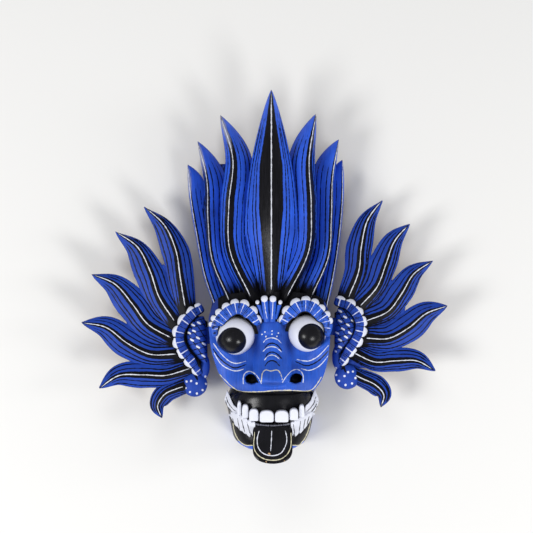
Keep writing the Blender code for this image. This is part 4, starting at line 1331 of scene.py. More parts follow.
@dataclass
class FaceBlock:
    """The face from the forehead to the muzzle, hollow behind."""

    rows: Knots = (
        (56, 34, 34, 13, 2.4), (46, 42, 42, 16, 2.4), (38, 45, 45, 21, 2.4),
        (32, 46.5, 46, 29, 2.4), (24, 48, 47, 37, 2.8),
        (14, 49, 48.2, 44, 3.6), (-4, 47.5, 47.5, 44, 3.2), (-15, 45, 46.4, 47, 2.7),
        (-25, 41.6, 44, 54, 2.4), (-32, 37, 41, 60, 2.3), (-38, 31, 36.5, 63, 2.3),
        (-41, 27, 33, 61, 2.3))
    nose_rows: Knots = (
        (26, 7, 46), (14, 9, 49), (4, 11.5, 52), (-6, 13.5, 55.5), (-15, 15, 60.5),
        (-23, 15, 67.5), (-28.5, 14, 72), (-31.5, 13, 71.5), (-34, 11.5, 65), (-36, 10, 57),
        (-40, 6, 48))
    nose_middle: float = 1.8
    nose_base: float = 39.0
    base: float = 12.0
    wall: float = 12.5
    front_wall: float = 16.0
    line_level: float = 24.0      # height below which the muzzle has no cream line
    hollow: Place = (46.0, -38.0)
    nose_blend: float = 5.0       # how softly the nose leaves the face
    wrinkle: float = 0.35         # height of the wrinkles of the bridge
    wings: Knots = ((-14.6, -28.6), (20.0, -28.2))
    wing_half: Spot = (9.5, 7.5, 8.0)         # half width, half height and rise
    nostril_half: Spot = (4.6, 3.6, 9.0)      # half width, half height and depth
    eyes: Knots = ((-26.9, 3.9), (29.6, 5.9))
    socket: Spot = (5.5, 12.0, 2.2)           # half width, half height and depth
    lids: Knots = ((-36.5, -9.0, 35.0), (41.0, -4.6, -38.0))
    lid_half: Spot = (11.0, 4.2, 5.5)         # half length, half width and rise
    rings: int = 240
    columns: int = 261
    # Black places in pixels: round the eyes, under the crest and in the nostrils
    eye_shadows: Knots = ((236, 336), (307.5, 333.5))
    eye_shadow_reach: float = 22.5
    forehead: Spot = (321.5, 271.0, 53.0)     # lower edge, middle and half width
    # Painted shade: a darker ground on the forehead under the brows
    forehead_painted_shade: Place = (325.0, 5.0)       # lower edge and softness
    nostrils: Knots = ((251.3, 379.0, 6.0, 4.6, 24.0), (296.2, 378.5, 6.4, 4.6, -20.0))
    forehead_dots: Knots = ((259.5, 320), (278.5, 320.5))

    def nose(self, x: Grid, y: Grid) -> Grid:
        """Work out the height of the nose: a superelliptic ridge that widens towards its tip.

        Args:
            x: places across the face.
            y: places up the face, one column.

        Returns:
            Its heights.
        """
        half, front = read_rows(self.nose_rows, y[:, 0])
        share = np.clip(np.abs(x - self.nose_middle) / half, 0, 1)
        return self.nose_base + (front - self.nose_base) * (1 - share ** 2.1) ** (1 / 2.1)

    def relief(self, x: Grid, y: Grid, z: Grid) -> Grid:
        """Raise the nose, its wings, wrinkles and lids, and sink the nostrils.

        Args:
            x: places across the face.
            y: places up the face, one column.
            z: heights of the plain arch.

        Returns:
            The new heights.
        """
        up = y + 0 * x
        front = smooth_max(z, self.nose(x, y), self.nose_blend)
        ripple = np.exp(-((x - self.nose_middle) / 9) ** 4) * smoothstep((up + 20) / 6)
        ripple *= smoothstep((10 - up) / 6)
        front += self.wrinkle * ripple * np.sin(up * 0.9)
        wide, tall, rise = self.wing_half
        for cx, cy in self.wings:
            gap = ((x - cx) / wide) ** 2 + ((up - cy) / tall) ** 2
            front += rise * np.exp(-gap ** 1.5) * smoothstep((75 - front) / 12)
        wide, tall, rise = self.lid_half
        for cx, cy, turn in self.lids:
            cosine, sine = math.cos(math.radians(turn)), math.sin(math.radians(turn))
            run = (x - cx) * cosine - (up - cy) * sine
            off = (x - cx) * sine + (up - cy) * cosine
            front += rise * np.exp(-(run / wide) ** 2 - (off / tall) ** 2)
        wide, tall, depth = self.socket
        for (ex, ey), inner in zip(self.eyes, (1, -1)):
            gap = np.hypot((x - ex - inner * 3 * wide) / wide, (up - ey + 3) / tall)
            front -= depth * np.exp(-gap ** 2)
        wide, tall, depth = self.nostril_half
        for cx, cy in self.wings:
            gap = np.hypot((x - cx) / wide, (up - cy + 0.4) / tall)
            front -= depth * smoothstep((1.2 - gap) / 0.45)
        return front

    def shell(self) -> tuple[Grid, int]:
        """Work out the face's rings.

        Every ring goes up the left side, over the arch with its relief, down the right side and
        back through the hollow, a smaller arch that closes in a quarter round at either end.

        Returns:
            The rings and how many of each ring's points lie on the front.
        """
        y = np.linspace(54, -41, self.rings)[:, None]
        left, right, front, power = read_rows(self.rows, y[:, 0])
        inset = 2.2 * (1 - np.sqrt(np.clip(1 - smoothstep((-38.4 - y) / 2.6) ** 2, 0, 1)))
        left, right, front = left - inset, right - inset, front - inset
        angle = np.linspace(math.pi, 0, self.columns)[None]
        reach = squircle(angle, power)
        x = np.where(np.cos(angle) < 0, left, right) * np.cos(angle) * reach
        z = self.base + (front - self.base) * np.sin(angle) * reach
        z = self.relief(x, y, z) * (z > 20) + z * (z <= 20)
        side = np.linspace(0, self.base, 6)[None, :-1]
        back_angle = np.linspace(0, math.pi, 61)[None]
        end = np.clip(np.minimum(self.hollow[0] - y, y - self.hollow[1]) / 9, 0, 1)
        close = np.sqrt(1 - (1 - end) ** 2)
        inner = squircle(back_angle, power)
        half = np.where(np.cos(back_angle) < 0, left, right) - self.wall
        in_x = half * np.cos(back_angle) * inner
        in_z = (self.base + (front - self.front_wall - self.base) * np.sin(back_angle) * inner)
        gouge = 0.55 * np.abs(np.sin(in_x / 3.4)) * np.abs(np.sin(y / 7.5 + in_x / 16))
        in_z = (in_z - gouge) * close
        rim = np.linspace(0, self.base, 5)[None, :-1] * close
        rows = [(-left + 0 * side, side + 0 * left), (x, z),
                (right + 0 * side, side[:, ::-1] + 0 * right),
                (right - self.wall + 0 * rim, rim), (in_x, in_z),
                (-left + self.wall + 0 * rim, rim[:, ::-1])]
        ring_x = np.hstack([row[0] for row in rows])
        ring_z = np.hstack([row[1] for row in rows])
        rings = np.dstack([ring_x, np.broadcast_to(y, ring_x.shape), ring_z])
        return rings, self.columns + 2 * side.shape[1]

    def colours(self, rings: Grid, front: int) -> Paint:
        """Paint the lines, dots and dark places of the face, and the painted shade in its hollows.

        Args:
            rings: the face's points.
            front: how many of each ring's points lie on the front.

        Returns:
            The face's paint.
        """
        paint = Paint.ground(rings, Brush.FACE)
        view = Carver.seen(rings)
        paint.add("white", brush_lines(view, FACE_LINES, 0.9))
        paint.add("cream", np.where(rings[..., 2] > self.line_level,
                                    brush_lines(view, FACE_CREAM, 0.95), FAR))
        paint.add("black", brush_lines(view, FACE_DARK, 1.3))
        paint.add("white", dots(view, BRIDGE_DOTS, 0.8))
        for mid_x, mid_y, wide, tall, turn in self.nostrils:
            paint.add("black", oval(view, (mid_x, mid_y), (wide, tall), turn))
        edge = np.array(FACE_CREAM[-1][2:-2])
        paint.add("black", (view[..., 1] - 0.4 - np.interp(view[..., 0], edge[:, 0], edge[:, 1]))
                  * PIXEL)
        for mid_x, mid_y in self.eye_shadows:
            gap = np.hypot(view[..., 0] - mid_x, view[..., 1] - mid_y)
            paint.add("black", np.minimum(self.eye_shadow_reach - gap,
                                          mid_y - 2 - view[..., 1]) * PIXEL)
        low, middle, half = self.forehead
        paint.add("black", np.minimum(low - view[..., 1],
                                      half - np.abs(view[..., 0] - middle)) * PIXEL)
        paint.add("white", dots(view, self.forehead_dots, 1.3))
        for corner in NOSTRILS:
            paint.add("black", inside_outline(view, np.array(corner)) * PIXEL)
        # Painted shade: a darker ground under the brows and in the hollows of the face
        low, soft = self.forehead_painted_shade
        paint.dusk = 0.85 * smoothstep((low - view[..., 1]) / soft)
        for x, y, wide, tall, depth in FACE_HOLLOW_SHADE:
            gap = ((view[..., 0] - x) / wide) ** 2 + ((view[..., 1] - y) / tall) ** 2
            paint.dusk = np.maximum(paint.dusk, depth * np.exp(-gap))
        hidden = np.arange(rings.shape[1]) >= front
        for colour in ("black", "white", "cream"):
            getattr(paint, colour)[:, hidden] = FAR
        paint.bare[:, hidden] = 1.0
        paint.bare[:, :2] = -0.1
        return paint

    def build(self, shop: Workshop) -> None:
        """Make the face block."""
        rings, front = self.shell()
        paint = self.colours(rings, front)
        shop.add("face_block", rings, paint, FACE_FINISH)


# Lines of the face, in pixels of the photograph
FACE_LINES = (
    ((263.5, 342.5), (266.5, 339), (272, 337.8), (277.5, 339.5), (281, 343)),
    ((263, 351.5), (267, 347.7), (272, 346.6), (277, 348), (281.5, 352)),
    ((264.5, 360), (267.5, 356.5), (272, 355), (276.5, 356.5), (280, 360)),
    ((213.5, 343.5), (220, 352.5), (229, 361), (237, 363.3), (246, 361)),
    ((214, 353), (221, 364), (230.5, 369.8), (237, 370.8), (244, 369)),
    ((328.5, 345.5), (319, 355.5), (311, 360.3), (305, 361), (297, 359.5)),
    ((328, 356), (321, 364.5), (314, 369), (308, 370.3), (301, 368.5)),
    ((243.2, 384), (243.6, 376), (247, 371.8), (251.5, 371.8), (257, 376), (261.5, 383.5)),
    ((282.3, 382.5), (286, 377), (291, 371.5), (296.5, 369.3), (301, 371.5), (303.2, 376),
     (303.2, 382.5)),
)
FACE_CREAM = (
    ((261.5, 382), (262.2, 374), (265.5, 370), (271, 371), (277, 370), (280.5, 373.5),
     (282.5, 380.5)),
    ((219.6, 374.5), (226, 381), (233.6, 388), (241.7, 391.4), (258.9, 391.8), (276, 390.5),
     (290, 390.3), (304.8, 391), (311.6, 389.8), (316.6, 384.6), (321.4, 377)),
)
FACE_DARK = (
    ((265, 348), (268, 344.5), (272, 343.2), (277, 345), (282, 350.5)),
    ((265.5, 357.5), (268, 353.5), (272, 352), (277, 353.8), (281.5, 358.5)),
    ((265, 366), (268, 362), (272, 360.6), (276, 362), (279.5, 366)),
    ((213, 349), (220, 358.5), (229, 365.5), (236, 367.8), (246, 364.5)),
    ((328.5, 351), (319, 360.3), (311, 364.8), (305, 365.5), (295.5, 361.5)),
)
# Corners of the dark of each nostril
NOSTRILS = (((246.2, 382.6), (246.4, 376.4), (249.2, 373.9), (253.0, 374.6), (256.4, 378.4),
             (259.2, 383.2), (252.6, 381.8)),
            ((289, 382.4), (292.4, 377.8), (296, 374.2), (300.2, 373.8), (301.6, 376.6),
             (301.4, 382.4), (296, 381.6)))
# Painted shade in the hollows of the face: middle in pixels, half width, half height and darkness
FACE_HOLLOW_SHADE = ((256.0, 346.0, 6.0, 15.0, 0.75), (289.5, 344.0, 6.0, 15.0, 0.75),
                (272, 383.5, 12, 2, 0.6), (259, 327, 4, 6, 0.8),
                (284.5, 326, 4, 6, 0.8), (251, 384.5, 7, 1.5, 0.5),
                (296, 384, 8, 1.6, 0.5), (236, 359, 17, 3, 0.3),
                (309, 356, 16, 3, 0.3))
BRIDGE_DOTS = ((265, 332), (272, 331), (272, 334.2), (262, 334.3), (266, 336.5), (277, 336.3),
               (278.3, 333))


@dataclass
class Eye:
    """A bulging eye: a white ball in its socket and a raised black pupil with one corner."""

    side: Side
    centre: Spot
    pupil: Place
    corner: Spot                  # angle of the pupil's corner, its rise and its breadth
    radius: float
    pupil_radius: float
    depth: float = 5.0
    pupil_rise: float = 3.4

    def ball(self, x: Grid, y: Grid) -> Grid:
        """Return the height of the ball, the root of r^2 less the distance squared."""
        off = (x - self.centre[0]) ** 2 + (y - self.centre[1]) ** 2
        return self.centre[2] + np.sqrt(np.maximum(self.radius ** 2 - off, 0.5))

    def build(self, shop: Workshop) -> None:
        """Make the ball and the pupil.

        The pupil rises over the ball by the root of 1 - s^2, s being the share of the way to its
        rim, and closes just under the ball's surface.

        Args:
            shop: makes the pieces.
        """
        name = self.side.name.lower()
        turn = np.linspace(0, 2 * np.pi, 112, endpoint=False)[None]
        polar = np.linspace(0.015, math.pi - 0.015, 60)[:, None]
        high = np.where(np.cos(polar) > 0, self.radius, self.depth) * np.cos(polar)
        rings = np.dstack([self.centre[0] + self.radius * np.sin(polar) * np.cos(turn),
                           self.centre[1] + self.radius * np.sin(polar) * np.sin(turn),
                           self.centre[2] + high + 0 * turn])
        shop.add(f"eye_white_{name}", rings, Paint.ground(rings, Brush.EYE), WHITE_FINISH)
        away = np.angle(np.exp(1j * (turn - math.radians(self.corner[0]))))
        rim = self.pupil_radius + self.corner[1] * np.exp(
            -(np.abs(away) / math.radians(self.corner[2])) ** 1.4)
        share = np.concatenate([np.sin(np.linspace(0.01, math.pi / 2, 48)),
                                np.linspace(0.98, 0.02, 8)])[:, None]
        front = (np.arange(56) < 48)[:, None]
        x = self.pupil[0] + rim * share * np.cos(turn)
        y = self.pupil[1] + rim * share * np.sin(turn)
        dome = self.pupil_rise * np.sqrt(np.clip(1 - share ** 2, 0, 1)) - 0.3
        rings = np.dstack([x, y, self.ball(x, y) + np.where(front, dome, -2.5)])
        shop.add(f"pupil_{name}", rings, Paint.ground(rings, Brush.PUPIL), GLOSS_FINISH)


EYES = (Eye(Side.LEFT, (-27.6, 3.9, 38.8), (-29.3, 0.5), (188, 2.3, 30), 15.5, 10.6),
        Eye(Side.RIGHT, (29.4, 5.9, 38.8), (32.4, 3.7), (-14, 0.9, 22), 14.9, 10.4))


@dataclass
class Brow:
    """A scalloped brow that arches over an eye, from its outer end to the bridge of the nose."""

    side: Side
    caps: Knots
    tail: Knots
    band: ScallopedBand = ScallopedBand(46.0, 6.3, 4.2, 5.0, 15.0, 3.3, (0.36, 0.5), grow=3.2,
                                        cap_sink=0.7)

    def build(self, shop: Workshop) -> None:
        """Make the brow.

        Args:
            shop: makes the pieces.
        """
        level = self.band.front + 3
        rings, along, out, pitch = self.band.shape(Carver.at_pixels(self.caps, level),
                                                   Carver.at_pixels(self.tail, level))
        paint = Paint.ground(rings)
        self.band.paint(paint, along, out, pitch)
        shop.add(f"brow_{self.side.name.lower()}", rings, paint, FACE_FINISH)


BROWS = (Brow(Side.LEFT, ((210.8, 324.4), (213.6, 318.6), (218.4, 312.4), (225.7, 306.2),
                          (234.6, 302.2), (244.6, 303), (254.2, 310.2), (259.2, 319)),
              ((213.4, 337), (211.4, 330))),
         Brow(Side.RIGHT, ((330.6, 320.5), (327.6, 314.4), (322.0, 307.8), (315.4, 302.0),
                           (305.8, 299.2), (295.2, 301.6), (285.4, 310.4), (281.2, 318.6)),
              ((328.6, 337), (331, 328.5))))


@dataclass
class BrowFan:
    """A fan of four ribs between the brows, white at their tops."""

    # Top and foot of each rib in pixels, then half widths there and height of its front
    ribs: Ribs = (((257.3, 300.0), (263.5, 319.0), 3.2, 1.6, 47.5),
                  ((280.4, 300), (275.4, 319), 3.2, 1.6, 47.5),
                  ((264.3, 295.6), (266.8, 322), 4.1, 2.9, 49.5),
                  ((272.9, 295.8), (272.3, 322), 4.1, 2.9, 49.5))
    depth: float = 14.0
    crown: float = 0.16           # share of a rib's length that its round top takes
    bulge: float = 2.6

    def build(self, shop: Workshop) -> None:
        """Make the ribs: bars with round tops, their sections half ellipses over flat backs.

        Args:
            shop: makes the pieces.
        """
        for k, (top, foot, wide, narrow, front) in enumerate(self.ribs):
            start, end = Carver.at_pixels((top, foot), front)
            share = np.concatenate([
                self.crown * (1 - np.cos(np.linspace(0.05, math.pi / 2, 24))),
                np.linspace(self.crown + 0.005, 1, 50)])[:, None]
            width = (wide + (narrow - wide) * share) * PIXEL
            crown = np.clip(share / self.crown, 0, 1)
            width = width * np.sqrt(np.clip(1 - (1 - crown) ** 2, 0.02, 1))
            turn = np.linspace(0, math.pi, 33)[None]
            run = (end - start) / np.linalg.norm(end - start)
            side = np.array((-run[1], run[0]))
            path = start + (end - start) * share
            out = np.hstack([width * np.cos(turn), width * -1, width])
            rise = self.bulge * np.sqrt(np.clip(1 - (1 - crown) ** 2, 0, 1))
            z = np.hstack([front - self.bulge + rise * np.sin(turn),
                           np.full((len(share), 2), front - self.depth)])
            rings = np.dstack([path[:, :1] + side[0] * out, path[:, 1:] + side[1] * out, z])
            paint = Paint.ground(rings, Brush.RIB, k)
            view = Carver.seen(rings)
            big = k > 1
            cap = oval(view, (top[0], top[1] + (3.0 if big else 2.2)),
                       (3.3, 3.6) if big else (2.0, 2.2))
            paint.add("white", cap)
            paint.add("black", np.where(view[..., 1] < top[1] + 5, 0.5 - cap * 1.5, FAR)
                      - (0.0 if big else 0.4))
            if big:
                line = ((top[0] + 0.1, top[1] + 6), ((top[0] + foot[0]) / 2, 311.0),
                        (foot[0] + (0.4 if k == 2 else -0.4), 319.0))
                paint.add("white", brush_line(view, line, 0.75))
            paint.add("black", np.where(view[..., 1] < 314, 0.28 - width * (1 - np.abs(
                out / width)), FAR))
            shop.add(f"brow_fan_{k}", rings, paint, FACE_FINISH)


# Mouth

@dataclass
class Mouth:
    """Upper lip, gums, teeth and jaw."""

    lip_rows: Knots = (
        (-37.6, 30, 33, 48, 2.2), (-42, 33, 35.5, 53, 2.2), (-50, 35, 37, 53, 2.2),
        (-58, 34, 36, 52, 2.2), (-66, 31.5, 33.5, 50, 2.3), (-73, 28, 31, 46, 2.3))
    jaw_rows: Knots = (
        (-55, 29, 30.5, 36, 2.4), (-60.7, 33, 34.4, 40.3, 2.6), (-66, 32.4, 34.2, 44, 2.6),
        (-73, 30.8, 32.5, 46, 2.6), (-79, 29, 30, 46, 2.6), (-83.5, 25, 26.5, 44.5, 2.8),
        (-86.6, 19, 20.5, 42, 3))
    base: float = 12.0
    columns: int = 151
    line_level: float = 26.0      # height below which the jaw has no cream line
    black_level: float = 18.0     # height below which the walls of the jaw are blue
    step: float = 1.5             # how fast the jaw falls away above its first row
    slit: Knots = ((243.0, 417.3), (252.0, 420.8), (265.0, 423.4), (279.0, 423.4),
                   (292, 421), (301, 417.6))
    slit_depth: float = 4.0
    # The pale floor of the mouth in pixels: middle, half width, top, bottom and how far it bows
    floor: tuple[float, ...] = (272.5, 21.0, 424.0, 427.5, 2.2)
    # Line round the black of the jaw in pixels, and where that black ends below
    jaw_line: Knots = (
        (232.9, 423), (234, 430), (236.5, 436.6), (240.3, 441.9), (246.2, 445.4),
        (253, 445.4), (272, 445.8), (292, 445.2), (298.4, 445.4), (302, 442.2),
        (306.4, 435.2), (309.6, 426.3), (311, 419))
    jaw_edge: float = 441.0
    # Painted shade at the corners of the mouth: middle and half size in pixels
    corner_shade: Knots = ((237.0, 415.0), (306.0, 414.5))
    corner_shade_half: Place = (7.5, 4.5)
    # Upper teeth in pixels: left, right, top, bottom, then height of the front
    upper: Knots = (
        (237.2, 241.3, 401.3, 415.5, 51), (241.9, 248.5, 404.6, 418.2, 54),
        (249, 258.6, 408.9, 421.3, 56.5), (259.6, 273.8, 410.5, 422.6, 58.5),
        (274.9, 288.6, 410.5, 422.6, 58.5), (289.4, 298.3, 408.6, 420.6, 56.5),
        (299, 304.6, 404.8, 418, 53.5))
    # Lower teeth in pixels: left, right, top, point, and where along its width the point is
    lower: Knots = (
        (229.8, 235.4, 413.5, 423, 0.5), (232.6, 239.4, 414.5, 428.2, 0.6),
        (236.8, 243.2, 416, 432, 0.7), (240.8, 247.6, 418, 434.6, 0.7),
        (245.4, 251.6, 420, 437.4, 0.72), (250.4, 255.4, 421.5, 436.8, 0.6),
        (290.4, 294.8, 421.5, 436.2, 0.5), (293.6, 299.6, 420, 437, 0.3),
        (298.2, 304.4, 418, 434.4, 0.3), (302.6, 308.6, 416, 430.2, 0.3),
        (306.6, 311.6, 414.5, 425.6, 0.4), (309.4, 314.4, 413.5, 420.6, 0.4))
    fans: tuple[Knots, Knots] = (
        ((226.6, 392.3), (225, 397), (224, 402.5), (227.4, 409.5), (230.4, 414.6),
         (228, 417.6), (231.6, 418.6), (235, 421), (240, 425), (246, 428.4),
         (252, 430), (256, 428), (254.5, 424.3), (249, 421.8), (243.5, 418),
         (240, 413), (237.3, 408.6), (233, 405.3), (229.6, 400.6), (227.8, 396)),
        ((315.6, 391), (317.6, 396), (319.4, 401.5), (318.2, 408), (315.2, 413.5),
         (315.4, 416.8), (311.4, 418), (307, 420.5), (302, 424), (297, 427.5),
         (292.5, 429), (289.6, 427.6), (291.5, 424), (297, 421.4), (302.5, 417.6),
         (305, 412), (305.6, 406.6), (309, 403.6), (312.6, 399.6), (314.6, 395)))
    # Dark lines between the lower teeth, in pixels
    gaps: tuple[Knots, ...] = (
        ((232.5, 418.5), (235, 426.6)), ((237.4, 418.5), (239.6, 429.4)),
        ((241.6, 420), (244.8, 432.3)), ((246.8, 422), (250, 433.4)),
        ((293.2, 424), (294.6, 432.9)), ((300.6, 421), (299.2, 431.2)),
        ((305.2, 419), (303.4, 428.9)), ((309.2, 416.4), (307, 424.3)))
    whiskers: tuple[tuple[Knots, ...], ...] = (
        (((226.2, 396.5), (228, 402.5), (232.5, 408.5), (236, 411.5)),
         ((225.2, 400), (227.2, 405.8), (231.5, 411.5), (235, 414.5)),
         ((225.4, 404.5), (227.8, 410), (231, 414), (234, 416.8))),
        (((315.8, 397), (314, 403), (310, 408.5), (306.8, 411.5)),
         ((317.4, 401), (315.4, 406.5), (311.5, 411.5), (308, 414.5)),
         ((317.2, 406), (314.8, 411), (311.5, 414.5), (309, 416.6))))

    def block(self, rows: Knots, heights: Grid) -> Grid:
        """Work out an arched block from rows, with its back flat on the floor.

        Args:
            rows: height up the mask, half widths, front and power of the arch.
            heights: where its rings go.

        Returns:
            Its rings.
        """
        left, right, front, power = read_rows(rows, heights)
        angle = np.linspace(math.pi, 0, self.columns)[None]
        reach = squircle(angle, power)
        x = np.where(np.cos(angle) < 0, left, right) * np.cos(angle) * reach
        z = self.base + (front - self.base) * np.sin(angle) * reach
        low = np.linspace(1, -1, 14)[None]
        low_x = np.where(low > 0, right, left) * low
        y = np.broadcast_to(heights[:, None], (len(heights), self.columns + 14))
        return np.dstack([np.hstack([x, low_x]), y, np.hstack([z, 0 * low_x])])

    def lips(self, shop: Workshop) -> None:
        """Make the lip and gums, with the dark slit of the mouth and its pale floor.

        Args:
            shop: makes the pieces.
        """
        rings = self.block(self.lip_rows, np.linspace(-37.6, -73, 90))
        view = Carver.seen(rings)
        away = distance_to_line(view, self.slit)[0][:, :self.columns]
        rings[:, :self.columns, 2] -= self.slit_depth * smoothstep((1.7 - away) / 1.2)
        paint = Paint.ground(rings, Brush.LIPS)
        middle, half, top, bottom, bend = self.floor
        bow = ((view[..., 0] - middle) / 20) ** 2 * bend
        floor = np.minimum(view[..., 1] - top + bow, bottom - bow - view[..., 1])
        floor = np.minimum(floor, half - np.abs(view[..., 0] - middle))
        paint.scuff = 0.5 * smoothstep(floor)
        paint.bare[:, self.columns:] = 1.0
        shop.add("lips", rings, paint, GLOSS_FINISH)

    def skin(self, x: Grid, y: Grid) -> Grid:
        """Work out the height of the lips or jaw: (1 - s^p)^(1/p) across each of their rows.

        Args:
            x: places across the mouth.
            y: places up the mask.

        Returns:
            The higher of the two.
        """
        heights = []
        for rows, end in ((self.lip_rows, 0.0), (self.jaw_rows, -60.7)):
            left, right, front, power = (part.reshape(y.shape) for part in
                                         read_rows(rows, np.minimum(y, end).ravel()))
            share = np.clip(np.abs(x) / np.where(x < 0, left, right), 0, 0.93)
            height = self.base + (front - self.base) * (1 - share ** power) ** (1 / power)
            heights.append(height - np.clip(y - end, 0, None) * self.step)
        return np.maximum(*heights)

    def tile(self, outline: Grid, root: float, front: float, crown: float = 0.45,
             lie: bool = False) -> Grid:
        """Work out a tooth from its outline: straight sides that round over to a flat crown.

        Args:
            outline: closed outline in pixels at the height of its front.
            root: height where the tooth starts behind.
            front: height of its front.
            crown: share of the outline that stays flat.
            lie: whether the heights are measured from the lips, so that it bends with them.

        Returns:
            The tooth's rings in the carver's frame.
        """
        flat = Carver.at_pixels(outline, 46.0 if lie else front)
        middle = flat.mean(0)
        turn = np.linspace(0, math.pi / 2, 9)
        inner = np.linspace(crown, 0.02, 14)[1:]
        sizes = np.concatenate([[0.9, 1.0, 1.0], crown + (1 - crown) * np.cos(turn) ** 0.6, inner])
        highs = np.concatenate([[root, root + 0.5, front - 2.2], front - 2.2 + 2.2 * np.sin(turn),
                                front + 0.2 * (1 - inner / crown)])
        places = middle + (flat - middle) * sizes[:, None, None]
        rings = np.dstack([places, np.broadcast_to(highs[:, None], places.shape[:2])])
        if lie:
            rings[..., 2] += self.skin(rings[..., 0], rings[..., 1])
        return rings

    def teeth(self, shop: Workshop) -> None:
        """Make the teeth and the fans at the corners of the mouth.

        Args:
            shop: makes the pieces.
        """
        turn = np.linspace(0, 2 * np.pi, 64, endpoint=False)
        for k, (left, right, top, bottom, front) in enumerate(self.upper):
            power = np.where(np.sin(turn) > 0, 7.0, 2.5)
            reach = squircle(turn, power)
            outline = np.column_stack([
                (left + right + (right - left) * np.cos(turn) * reach) / 2,
                (top + bottom + (bottom - top) * np.sin(turn) * reach) / 2])
            rings = self.tile(outline, front - 9, front, 0.78)
            paint = Paint.ground(rings, Brush.UPPER_TOOTH, k)
            shop.add(f"upper_tooth_{k}", rings, paint, WHITE_FINISH)
        for k, (left, right, top, low, point) in enumerate(self.lower):
            middle = left + (right - left) * point
            knots = ((left + 0.5, top), (left, (top + low) / 2), (left + 0.6, low - 3.6),
                     (middle, low), (right - 0.6, low - 3.6), (right, (top + low) / 2),
                     (right - 0.5, top), (left + 0.5, top))
            outline = spline(knots, 65)[:-1]
            rings = self.tile(outline, -6, 2.6, 0.6, lie=True)
            paint = Paint.ground(rings, Brush.LOWER_TOOTH, k)
            paint.add("black", brush_lines(Carver.seen(rings), self.gaps, 0.75))
            shop.add(f"lower_tooth_{k}", rings, paint, WHITE_FINISH)
        for k, (fan, whiskers) in enumerate(zip(self.fans, self.whiskers)):
            loop = spline((*fan, fan[0]), 145)[:-1]
            rings = self.tile(loop, -6.0, 1.9, 0.8, lie=True)
            paint = Paint.ground(rings, Brush.CORNER_FAN, k)
            view = Carver.seen(rings)
            paint.add("black", brush_lines(view, whiskers + self.gaps, 0.75))
            # Painted shade at the corners of the mouth, laid on as pale grey
            corner_shade_gap = np.hypot(*np.moveaxis((view - self.corner_shade[k]) / self.corner_shade_half, -1, 0))
            paint.scuff = 0.8 * np.exp(-corner_shade_gap ** 2)
            shop.add(f"corner_fan_{k}", rings, paint, WHITE_FINISH)

    def jaw(self, shop: Workshop) -> None:
        """Make the jaw, black inside a cream line and blue at its rim.

        Args:
            shop: makes the pieces.
        """
        rings = self.block(self.jaw_rows, np.linspace(-55, -86.6, 90))
        view = Carver.seen(rings)
        paint = Paint.ground(rings, Brush.JAW)
        edge = np.vstack([spline(self.jaw_line, 60), [(312, 400), (230, 400)]])
        paint.add("black", inside_outline(view, edge) * PIXEL)
        paint.add("black", np.minimum((self.jaw_edge - view[..., 1]) * PIXEL,
                                      rings[..., 2] - self.black_level))
        paint.add("cream", np.where(rings[..., 2] > self.line_level,
                                    brush_line(view, self.jaw_line, 0.85), FAR))
        paint.bare[:, self.columns + 2:-2] = 1.0
        shop.add("jaw", rings, paint, FACE_FINISH)

    def build(self, shop: Workshop) -> None:
        """Make every piece of the mouth."""
        self.lips(shop)
        self.jaw(shop)
        self.teeth(shop)


